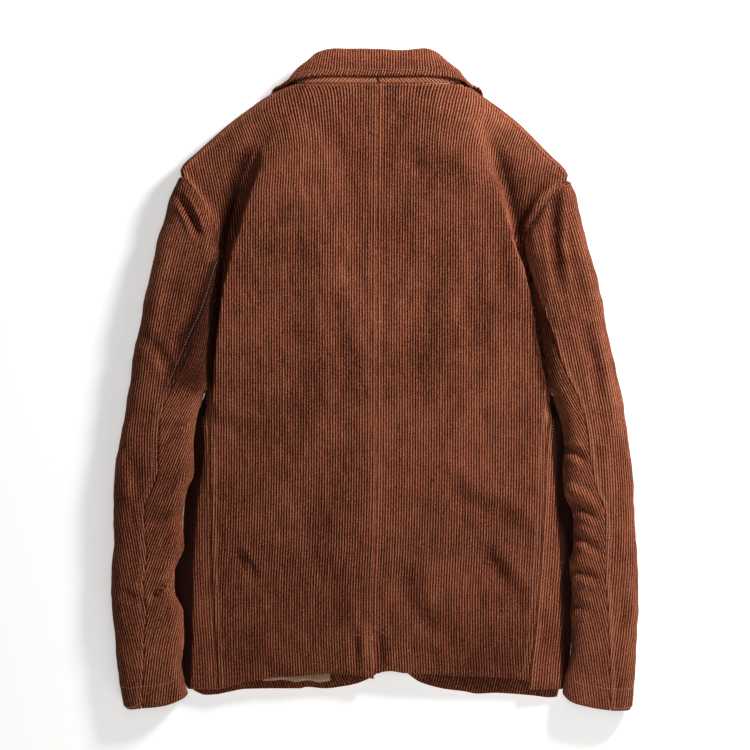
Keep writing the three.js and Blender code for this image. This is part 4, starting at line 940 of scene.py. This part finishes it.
# ---- fronts --------------------------------------------------------------------------------------
def front_panel(name, t, hem_rows, side, ni, nj, ki, kj):
    hem = curve(*zip(*hem_rows[1]))
    downs = np.linspace(36, 642, nj + 1)
    X, Z, S, K = [], [], [], []
    for down in downs:
        start, foot, end, w, up = float(t.startX(down)) + side * gap, float(t.footX(down)), float(t.endX(down)), float(t.flapW(down)), float(t.flapZ(down))
        fold, fz = float(t.foldX(down)), float(t.foldZ(down))

        def lift(x):
            return up * float(clamp((w + 5 - abs(x - end)) / 5))
        if side < 0:
            ra = max(foot + 3, end - w - 5)
            rb = max(ra + 2, end - w)
        else:
            ra = min(foot - 3, end + w + 5)
            rb = min(ra - 2, end + w)
        row = [[start, t.startZ(down)], [t.boundX(down), t.boundZ(down)], [fold, fz], [lerp(fold, foot, 0.35), lerp(fz, lift(foot), 0.65)],
               [foot, lift(foot)], [lerp(foot, ra, 0.5), lift(lerp(foot, ra, 0.5))], [ra, lift(ra)], [rb, lift(rb)], [end, lift(end)]]
        x, z, e = section(row, ni + 1)
        X.append(x), Z.append(z), S.append(e)
        f = float(np.hypot(row[1][0] - row[0][0], (row[1][1] - row[0][1]) / G) + np.hypot(row[2][0] - row[1][0], (row[2][1] - row[1][1]) / G))
        K.append(f)
    X, Z, S, K = np.array(X), np.array(Z), np.array(S), np.array(K)[:, None]
    D = np.repeat(downs[:, None], ni + 1, 1)

    def bound_at(q):
        return np.hypot((t.boundX(q) - t.startX(q)) * G, t.boundZ(q) - t.startZ(q)) - 1.5
    level = lerp(642.0, hem(X), smooth((S - K) / 6.0))
    Y = stretch(D, 642.0, level)
    P = place(X, Y, Z)

    def folds(P, rim):
        side_part = smooth(1 - (S - K) / 4)
        c = 0.9 * np.sin(P[..., 1] / 17.0 + 2 * np.sin(P[..., 1] / 41.0)) * side_part
        return c * rim + creases(P[..., 0], P[..., 1], FRONT_CREASES) * rim * (1 - side_part) * 0.5 * (Z > 0.5)
    return panel(name, P, CLOTH, -side, S, Y, ki, kj, CORD, edges=("topstitch", "hem", "seam", "hem"), folds=folds, wave=0.0, seed=9 + side, floor=True,
                 lines=[(1, 6.0, 0.35, 1.0), (0, 6.2, 0.6, 1.0)], 
                 # painted light: the fronts' flat part a little lighter and the turned-up hem much lighter, lifted
                 # out of the back's shadow; painted shade: the sides beyond the bound, spread under the sleeves,
                 # dark; painted highlight along the side seam
                 painted_light_and_shade=lambda P, A, Ae, B, Be: lerp(0.2 + 2.9 * smooth((D - 590) / 14), lerp(0.0, -2.4, smooth((A - bound_at(D)) / 5.0)) + 0.35 * np.exp(-((A - 4.0) / 4.0) ** 2), smooth(1 - (S - K) / 4)))


FRONT_CREASES = [(8.0, 1.2, (-120, 330), (-60, 360)), (8.0, 1.2, (120, 330), (60, 372))]
front_panel("front_left", T_FL, HEM_FRONT_LEFT, -1, 240, 120, 4, 4)
front_panel("front_right", T_FR, HEM_FRONT_RIGHT, 1, 240, 120, 4, 4)


# ---- sleeves -------------------------------------------------------------------------------------
SLEEVE_SEAMS, LAST = 214.0, 654.0
FRONT_SEAM_IN = curve([214, 257, 304, 347, 420, 654], [0, 5, 14, 18, 20, 20])


class Sleeve:
    def __init__(self, s, b, f, cuff, elbow, side):
        self.s, self.b, self.f, self.side = Table(s), b, f, side
        self.first = s[1][0][0]
        fst = self.first
        self.low = curve([fst, fst + 7, fst + 14, fst + 26, fst + 45], [19, 10, 4, 1, 0])
        self.cuff = curve(*zip(*cuff[1]))
        self.elbow = curve(*zip(*elbow[1]))

    def shape(self, down):
        s, b, f, side = self.s, self.b, self.f, self.side
        k = smooth((UNDERARM + 7 - down) / 6)
        in_x = lerp(s.inX(down), b.endX(down) + side * gap * 2, k)
        in_z = lerp(s.inZ(down), b.endZ(down), k)
        fin_x = lerp(s.inX(down), f.startX(down) + side * gap * 2, k)
        fin_z = lerp(s.inZ(down), f.startZ(down), k)
        out_x = s.outX(down)
        top = np.maximum(s.topZ(down), in_z + 0.6)
        low = np.minimum(self.low(down), fin_z)
        mid = np.minimum(top - 1, np.maximum(top / 2 - 1, (in_z + fin_z) / 2 * smooth((self.first + 40 - down) / 40)))
        wide = np.abs(out_x - in_x)
        ro = np.minimum(wide * 0.45, 17)
        ri = np.minimum(wide * 0.4, np.maximum(4, (top - in_z) * 0.75))
        rf = np.minimum(wide * 0.4, np.maximum(1.5, (fin_z - low) * 0.95))
        return in_x, in_z, fin_x, fin_z, out_x, top, low, mid, ro, ri, rf

    def point(self, down, v):
        in_x, in_z, fin_x, fin_z, out_x, top, low, mid, ro, ri, rf = self.shape(down)
        side, h = self.side, math.pi / 2
        v = np.where(v < 0, v + 2, v)
        a = clamp(v / 0.3) * h
        x = in_x + side * ri * (1 - np.cos(a))
        z = in_z + (top - in_z) * np.sin(a)
        e = clamp((v - 0.3) / 0.3)
        c = (v > 0.3)
        x = np.where(c, lerp(in_x + side * ri, out_x - side * ro, e), x)
        z = np.where(c, top + 0.8 * np.sin(np.pi * e), z)
        a = clamp((1 - v) / 0.4) * h
        c = (v > 0.6)
        x = np.where(c, out_x - side * ro * (1 - np.cos(a)), x)
        z = np.where(c, mid + (top - mid) * np.sin(a), z)
        a = clamp((v - 1) / 0.3) * h
        c = (v > 1)
        x = np.where(c, out_x - side * ro * (1 - np.cos(a)), x)
        z = np.where(c, mid - (mid - low) * np.sin(a), z)
        c = (v > 1.3)
        x = np.where(c, lerp(out_x - side * ro, fin_x + side * rf, clamp((v - 1.3) / 0.45)), x)
        z = np.where(c, low, z)
        a = clamp((2 - v) / 0.25) * h
        c = (v > 1.75)
        x = np.where(c, fin_x + side * rf * (1 - np.cos(a)), x)
        z = np.where(c, fin_z - (fin_z - low) * np.sin(a), z)
        return x, z

    def find(self, down, x, a, b):
        a = np.full(np.shape(down), float(a))
        b = np.full(np.shape(down), float(b))
        fa = self.side * (self.point(down, a)[0] - x) < 0
        for _ in range(26):
            m = (a + b) / 2
            same = (self.side * (self.point(down, m)[0] - x) < 0) == fa
            a, b = np.where(same, m, a), np.where(same, b, m)
        return (a + b) / 2

    def arc_table(self):
        dn = np.linspace(self.first, LAST, 220)
        vv = np.linspace(0, 2, 241)
        Dn, Vv = np.meshgrid(dn, vv, indexing="ij")
        x, z = self.point(Dn, Vv)
        s = np.concatenate([np.zeros((len(dn), 1)), np.cumsum(np.hypot(np.diff(x, axis=1), np.diff(z, axis=1) / G), axis=1)], 1)
        return dn, vv, s

    def arc(self, table, down, v):
        dn, vv, s = table
        i = np.clip((down - dn[0]) / (dn[1] - dn[0]), 0, len(dn) - 1.001)
        w = v
        j = np.clip(w / (vv[1] - vv[0]), 0, len(vv) - 1.001)
        i0, j0 = i.astype(int), j.astype(int)
        fi, fj = i - i0, j - j0
        return (s[i0, j0] * (1 - fi) * (1 - fj) + s[i0 + 1, j0] * fi * (1 - fj) + s[i0, j0 + 1] * (1 - fi) * fj + s[i0 + 1, j0 + 1] * fi * fj)


def sleeve_pair(tag, side, S, crease_rows, outer_line, inner_line):
    table = S.arc_table()
    # top sleeve
    ni, nj = 200, 248
    downs = S.first + 0.5 + (LAST - S.first - 0.5) * np.linspace(0, 1, nj + 1) ** 1.08
    a = np.where(downs < SLEEVE_SEAMS, 0.0, S.find(downs, S.elbow(downs) + side * gap, 0, 1))
    front_x = S.shape(downs)[2] + side * FRONT_SEAM_IN(downs)
    b = np.where(downs < SLEEVE_SEAMS, 2.0, S.find(downs, front_x + side * gap, 2, 1))
    X, Z, W = [], [], []
    for d, va, vb in zip(downs, a, b):
        vv = np.linspace(va, vb, 500)
        x, z = S.point(np.full(500, d), vv)
        s = np.concatenate([[0], np.cumsum(np.hypot(np.diff(x), np.diff(z) / G))])
        e = np.linspace(0, s[-1], ni + 1)
        X.append(np.interp(e, s, x)), Z.append(np.interp(e, s, z)), W.append(e - np.interp(1.0, vv, s))
    X, Z, W = np.array(X), np.array(Z), np.array(W)
    D = np.repeat(downs[:, None], ni + 1, 1)
    hem = np.where(D <= 600, D, 600 + (D - 600) * (S.cuff(X) - 600) / (LAST - 600))
    P = place(X, hem, Z)

    def folds(P, rim):
        up = smooth((Z - 14) / 9)
        c = 1.8 * creases(P[..., 0], P[..., 1], crease_rows) * up * rim
        ripple = 0.8 * soft_noise(P[..., 1], P[..., 1] * 0 + P[..., 0] * 0.35, 60 + side, 70.0) * smooth((Z - 8) / 10)
        return c + ripple * rim
    W = W + side * (S.shape(D)[4] - outer_line(D))
    panel("sleeve_top_" + tag, P, CLOTH, -side, W, hem, 5, 8, CORD, edges=("topstitch", "seam", "seam", "hem"), folds=folds, wave=0.35, seed=20 + side,
          floor=True, lines=[(0, 6.2, 0.15, 1.0), (3, 26.0, 0.02, 0.35), (3, 3.5, 0.0, 0.4)],
          # painted light and shade: right sleeve lighter and left darker on top; painted highlight along the elbow
          # seam; painted shade on the left sleeve near the elbow seam and at the shoulder, in creases, and on the
          # right sleeve's inner edge below the shoulder
          painted_light_and_shade=lambda P, A, Ae, B, Be: (0.10 if side > 0 else -0.10) * smooth((Z - 10) / 15) + 0.42 * np.exp(-((A - 3.4) / 3.0) ** 2) * (D > 214)
          - (1.3 if side < 0 else 0.0) * smooth(1 - A / 26) * smooth((D - 196) / 22) * smooth((312 - D) / 34)
          - np.clip(-creases(P[..., 0], P[..., 1], crease_rows) * 0.12, -0.1, 0.4)
          - 1.5 * np.exp(-(A / 12.0) ** 2) * smooth((D - 168) / 30) * smooth((362 - D) / 40) * (side < 0)
          - 0.35 * np.exp(-(((np.abs(X) - 186) / 12) ** 2)) * smooth((160 - D) / 30) * (side < 0)
          - 0.5 * np.exp(-(((X - 181) / 7) ** 2)) * smooth((D - 138) / 14) * smooth((250 - D) / 24) * (side > 0))
    # under sleeve
    ni, nj = 120, 300
    u = np.linspace(0, 1, ni + 1)[None, :]
    levels = SLEEVE_SEAMS + (LAST - SLEEVE_SEAMS) * np.linspace(0, 1, nj + 1)[:, None]
    start = lerp(SLEEVE_SEAMS, UNDERARM + 6, smooth(1 - np.abs(2 * u - 1)))
    D = LAST - (LAST - levels) * (LAST - start) / (LAST - SLEEVE_SEAMS)
    opening = np.where(D < UNDERARM + 6, 1 - smooth((D - start) / np.maximum(1, (UNDERARM + 6 - start) * 0.9)), 0)
    edge = 1 - np.abs(2 * u - 1)
    e = np.where(edge <= 0, 0, lerp(edge, 1, opening))
    U0 = np.repeat(u, nj + 1, 0)
    v_back = S.find(D, S.elbow(D) - side * gap, 0, 1)
    v_front = S.find(D, S.shape(D)[2] + side * FRONT_SEAM_IN(D) - side * gap, 2, 1) - 2
    v = np.where(U0 <= 0.5, v_back * (1 - e), lerp(v_front, -1e-6, e))
    x, z = S.point(D, v)
    hem = np.where(D <= 600, D, 600 + (D - 600) * (S.cuff(x) - 600) / (LAST - 600))
    P = place(x, hem, z)
    in_x = S.shape(D)[0]
    full = S.arc(table, D, np.full(D.shape, 2.0))
    w = np.where(v >= 0, S.arc(table, D, np.maximum(v, 0)), S.arc(table, D, np.where(v < 0, v + 2, 2.0)) - full)
    W = w + side * (in_x - inner_line(D))

    def folds2(P, rim):
        up = smooth((z - 13) / 9)
        return 1.8 * creases(P[..., 0], P[..., 1], crease_rows) * up * rim
    panel("sleeve_under_" + tag, P, CLOTH, side, W, hem, 4, 6, CORD, edges=("seam", "seam", "seam", "hem"), folds=folds2, wave=0.35, seed=30 + side,
          floor=True, lines=[(3, 26.0, 0.0, 0.42)],
          # painted shade: under sleeve darker up towards the armpit, most on the left, and darker where it lies low
          # by the floor; left a touch darker overall
          painted_light_and_shade=lambda P, A, Ae, B, Be: (0.0 if side > 0 else -0.04) - (1.15 if side < 0 else 0.35) * smooth((356 - D) / 30) - 0.7 * smooth((9.5 - z) / 5))


LEFT_SLEEVE_CREASES = [
    (4.5, -3.2, g(179, 197), g(185.5, 206), g(193, 220), g(199, 236)),
    (5.0, -3.0, g(192, 421), g(176, 428), g(160, 440)),
    (5.0, -3.0, g(193, 467), g(176, 478), g(158, 492)),
    (5.0, -2.6, g(184, 515), g(166, 520), g(150, 526)),
    (5.5, -4.0, g(178, 582), g(164, 588), g(146, 600)),
    (5.0, 1.4, g(180, 562), g(166, 566), g(150, 570)),
    (6.0, 1.3, g(184, 500), g(165, 506), g(150, 508)),
    (7.0, -1.6, g(140, 330), g(160, 352), g(176, 380)),
    (7.0, -1.2, g(130, 450), g(140, 500)),
    (5.5, -1.4, g(120, 590), g(140, 600)),
    (6.0, -1.3, g(178, 640), g(150, 650)),
    (9.0, 1.2, g(165, 250), g(152, 330)),
]
RIGHT_SLEEVE_CREASES = [
    (6.0, -3.2, g(555, 190), g(553, 215), g(554, 245), g(560, 290)),
    (7.0, -2.4, g(585, 330), g(594, 365), g(600, 402)),
    (5.0, 2.0, g(563, 485), g(580, 494), g(598, 505)),
    (4.5, -2.6, g(561, 498), g(578, 507), g(596, 518)),
    (5.0, -2.4, g(562, 447), g(574, 452), g(588, 462)),
    (5.0, -2.4, g(571, 533), g(584, 540), g(600, 552)),
    (5.5, -2.4, g(570, 568), g(584, 574), g(602, 580)),
    (5.5, -1.8, g(572, 604), g(588, 610)),
    (8.0, 1.6, g(574, 215), g(583, 262), g(592, 300)),
    (9.0, -1.5, g(616, 420), g(622, 470), g(620, 520)),
    (8.0, 1.3, g(606, 380), g(615, 440)),
    (7.0, -1.4, g(625, 600), g(618, 640)),
]
left = Sleeve(SLEEVE_LEFT, T_BL, T_FL, CUFF_LEFT, ELBOW_LEFT, -1)
right = Sleeve(SLEEVE_RIGHT, T_BR, T_FR, CUFF_RIGHT, ELBOW_RIGHT, 1)
sleeve_pair("left", -1, left, LEFT_SLEEVE_CREASES, curve([120, 192, 332, 400, 440, 512, 560, 654], [-190, -217, -245, -252, -251, -240, -230, -208]),
            curve([214, 300, 340, 380, 460, 560, 600, 654], [-148, -163, -177, -197, -230, -266, -277, -284]))
sleeve_pair("right", 1, right, RIGHT_SLEEVE_CREASES, curve([120, 192, 352, 402, 472, 552, 654], [190, 211, 249, 257, 260, 256, 242]),
            curve([214, 300, 340, 380, 460, 560, 600, 654], [146, 164, 178, 199, 234, 266, 275, 283]))


# ---- collar --------------------------------------------------------------------------------------
def stations(spec, last=None):
    names, rows = spec
    return np.array([r for r in rows][: last])


def collar_points(rows):
    F = place(rows[:, 0], rows[:, 1], rows[:, 2])
    E = place(rows[:, 3], rows[:, 4], rows[:, 5])
    d = (E - F) / np.linalg.norm(E - F, axis=1, keepdims=True)
    n = rows[:, 6:9].copy()
    n -= d * (n * d).sum(1, keepdims=True)
    n /= np.linalg.norm(n, axis=1, keepdims=True)
    return F, E, d, n, rows[:, 9], rows[:, 10] * G


def fall():
    L, R = stations(COLLAR_LEFT), stations(COLLAR_RIGHT)
    rows = np.concatenate([L[:0:-1], R])
    F, E, d, n, r, turn = collar_points(rows)
    key = np.concatenate([[0], np.cumsum(np.linalg.norm(np.diff((F + E) / 2, axis=0), axis=1))])
    m = 440
    q = np.linspace(0, key[-1], m + 1)

    def along(v):
        if v.ndim == 1:
            return curve(key, v)(q)
        return np.stack([curve(key, v[:, k])(q) for k in range(3)], -1)
    F, E, n, r, turn = along(F), along(E), along(n), along(r), along(turn)
    d = E - F
    d /= np.linalg.norm(d, axis=1, keepdims=True)
    n -= d * (n * d).sum(1, keepdims=True)
    n /= np.linalg.norm(n, axis=1, keepdims=True)
    C = F + d * r[:, None]
    cols, nb, na, nf = [], 6, 14, 40
    first = C - n * (r + turn * 0.25)[:, None] + d * turn[:, None]
    for k in range(nb):
        cols.append(lerp(first, C - n * r[:, None], k / nb))
    for k in range(na):
        a = -math.pi / 2 - k / na * math.pi
        cols.append(C + n * (r * math.sin(a))[:, None] + d * (r * math.cos(a))[:, None])
    top = C + n * r[:, None]
    for k in range(nf + 1):
        e = k / nf
        cols.append(lerp(top, E, e) + n * (1.6 * np.sin(np.pi * e) * (1 - e * 0.3) * np.clip(r / 3.2, 0, 1) ** 2)[:, None])
    P = np.stack(cols, 1)
    W = np.repeat(((q - key[len(L) - 1]) / G)[:, None], P.shape[1], 1)
    A, B = arcs(P)
    dist = A[:, -1:] - A
    W = W + 0.36 * np.clip(7.5 - dist, 0, 9) / G * 1.0
    V = A / G

    def folds(P, rim):
        return 0.35 * soft_noise(P[..., 0], P[..., 1] * 3, 77, 60.0) * rim

    # the edge is the last column, edges: first row, last row are its two ends
    return panel("collar_fall", P, COLLAR_CLOTH, 1, W, V, 6, 4, CORD_COLLAR_PAINTED_LIGHT, edges=("plain", "topstitch", "hem", "hem"), folds=folds, wave=0.2, seed=41,
                 # painted light: a little lighter all over, with a painted highlight in a band along the roll, 27 mm
                 # in from the edge
                 lines=[(1, 7.6, 0.0, 1.0)], painted_light_and_shade=lambda P, A, Ae, B, Be: 0.06 + 0.2 * np.exp(-((Ae - 27) / 7) ** 2))


def stand(tag, side, spec, t):
    rows = stations(spec, 6)
    F, E, d, n, r, turn = collar_points(rows)
    top = F + d * (r + 1)[:, None] + n * 0.7
    neck_x = np.array([float(T_CENTRE.seamX(NECK)) + side, *[float(getattr(t, c)(NECK)) for c in ("crestX", "edgeX", "footX", "riseX", "endX")]])
    neck_z = np.array([float(T_CENTRE.seamZ(NECK)), *[float(getattr(t, c)(NECK)) for c in ("crestZ", "edgeZ", "footZ", "riseZ", "endZ")]])
    k = np.arange(6.0)
    m = 130
    q = np.linspace(0, 5, m + 1)
    T = np.stack([curve(k, top[:, c])(q) for c in range(3)], -1)
    N = place(curve(k, neck_x)(q), NECK - 0.03 + 0 * q, curve(k, neck_z)(q))
    x0 = (float(T_CENTRE.seamX(NECK)) + side * gap - 1.4) * G
    T[0, 0] = N[0, 0] = x0
    near = np.exp(-q / 0.35)[:, None]
    T[:, 0:1] = lerp(T[:, 0:1], np.maximum(side * T[:, 0:1], side * x0) * side, near)
    cols = [lerp(T, N, e) for e in np.linspace(0, 1, 41)]
    P = np.stack(cols, 1)
    W = (P[..., 0] * side * 0.72 + (P[..., 1]) * 0.72) / G
    return panel("collar_stand_" + tag, P, 1.4, side, W, (P[..., 0] - P[..., 1] * side) / G, 4, 5, CORD_COLLAR_PAINTED_LIGHT, edges=("plain", "seam", "seam", "plain"), wave=0.1, seed=51,
                 # painted light: the stand lighter all over, against the shadow the collar's fall casts on it
                 painted_light_and_shade=lambda P, A, Ae, B, Be: 0.75 + 0 * A)


fall()
stand("left", -1, COLLAR_LEFT, T_BL)
stand("right", 1, COLLAR_RIGHT, T_BR)


# ---- lapels under the fronts, and the lining ------------------------------------------------------
def lapel(name, t, side):
    downs = np.linspace(104, BREAK, 91)
    end, w = t.endX(downs), t.flapW(downs) - 2.2
    e = np.linspace(0, 1, 97)[None, :]
    X = lerp((end + side * w)[:, None], end[:, None], e)
    P = place(X, np.repeat(downs[:, None], 97, 1), np.zeros(X.shape))
    return panel(name, P, LAPEL_CLOTH, -side, X, np.repeat(downs[:, None], 97, 1), 6, 6, CORD, edges=("plain",) * 4, wave=0.0, seed=60, floor=True,
                 lines=[], cords=0.0, painted_light_and_shade=lambda P, A, Ae, B, Be: 0 * A)


lapel("lapel_left", T_FL, -1)
lapel("lapel_right", T_FR, 1)


def lining():
    x = np.linspace(-118, -45, 97)[None, :]
    hem = curve([-118, -105.8, -93.7, -81.5, -69.3, -57.2, -45], [632.5, 634.5, 633, 635.4, 634, 635.6, 634.6])(x)
    e = np.linspace(0, 1, 61)[:, None]
    Y = lerp(572.0, hem, e)
    X = np.repeat(x, 61, 0)
    Z = CLOTH + SEAM + LINING + 0.5 * smooth((e - 0.5) * 2) * (1 + np.sin(X / 3.2)) * 0.7
    P = place(X, Y, Z)
    return panel("lining", P, LINING, -1, X, Y, 6, 6, LINING_MAT, edges=("plain", "plain", "plain", "hem"), wave=0.0, seed=70, cords=0.0,
                 painted_light_and_shade=lambda P, A, Ae, B, Be: 0 * A)


lining()

# rows of stitches that don't follow an edge
stitch_path("back_left", [g(352, 634), g(362, 635.5), g(372.5, 638)])
stitch_path("back_right", [g(375, 629), g(384, 633), g(392, 636.5)])
stitch_path("back_left", [g(218, 434.5), g(227, 435.5)])
build_stitches(THREAD)

# ---- floor, light, camera ------------------------------------------------------------------------
bpy.ops.mesh.primitive_plane_add(size=8.0, location=(0, 0, -0.0004))
floor = bpy.context.object
floor.name = "studio_floor"
fm = bpy.data.materials.new("studio_floor")
fm.use_nodes = True
fb = fm.node_tree.nodes["Principled BSDF"]
fb.inputs["Base Color"].default_value = (0.86, 0.86, 0.86, 1)
fb.inputs["Roughness"].default_value = 0.9
fb.inputs["Emission Color"].default_value = (1, 1, 1, 1)
# the floor glows a little around the jacket, not beneath it: painted light that fills in the jacket's shadows on the
# floor
ft = fm.node_tree
pos = ft.nodes.new("ShaderNodeNewGeometry")
split = ft.nodes.new("ShaderNodeSeparateXYZ")
ft.links.new(pos.outputs["Position"], split.inputs[0])


def inside(half, low, high):
    a = math_node(ft, "LESS_THAN", math_node(ft, "ABSOLUTE", split.outputs[0]), half)
    b = math_node(ft, "LESS_THAN", math_node(ft, "ABSOLUTE", math_node(ft, "SUBTRACT", split.outputs[1], (low + high) / 2)), (high - low) / 2)
    return math_node(ft, "MULTIPLY", a, b)


under = math_node(ft, "MAXIMUM", inside(0.185, -0.31, 0.25), math_node(ft, "MAXIMUM", inside(0.076, 0.2, 0.37), inside(0.108, 0.2, 0.353)))
ft.links.new(math_node(ft, "MULTIPLY", math_node(ft, "SUBTRACT", 1.0, under), 0.5), fb.inputs["Emission Strength"])
floor.data.materials.append(fm)


def area_light(name, loc, target, size, watts, colour=(1, 1, 1)):
    ld = bpy.data.lights.new(name, "AREA")
    ld.shape, ld.size, ld.energy, ld.color = "DISK", size, watts, colour
    lo_ = bpy.data.objects.new(name, ld)
    lo_.location = loc
    lo_.rotation_euler = (Vector(target) - Vector(loc)).to_track_quat("-Z", "Y").to_euler()
    bpy.context.scene.collection.objects.link(lo_)


area_light("key", (1.10, 1.10, 0.85), (0.0, 0.05, 0), 0.40, 37.6, (1.0, 0.985, 0.96))
area_light("top", (0.3, 0.4, 2.6), (0, 0, 0), 1.2, 7.0)
area_light("low", (0.35, -1.25, 0.55), (0.0, -0.35, 0), 0.9, 5.6, (1.0, 0.97, 0.94))
world = bpy.data.worlds.new("studio")
bpy.context.scene.world = world
world.use_nodes = True
world.node_tree.nodes["Background"].inputs[0].default_value = (1, 1, 1, 1)
world.node_tree.nodes["Background"].inputs[1].default_value = 0.07

cam_data = bpy.data.cameras.new("camera")
cam = bpy.data.objects.new("camera", cam_data)
bpy.context.scene.collection.objects.link(cam)
DIST = 4.0
cam_data.sensor_width = 36.0
cam_data.lens = 36.0 * (DIST - 0.02) / 0.885
cam.location = (0.0, 0.0047, DIST)
cam.rotation_euler = (0, 0, 0)
cam_data.clip_end = 50
bpy.context.scene.camera = cam
bpy.context.scene.view_settings.view_transform = "Standard"
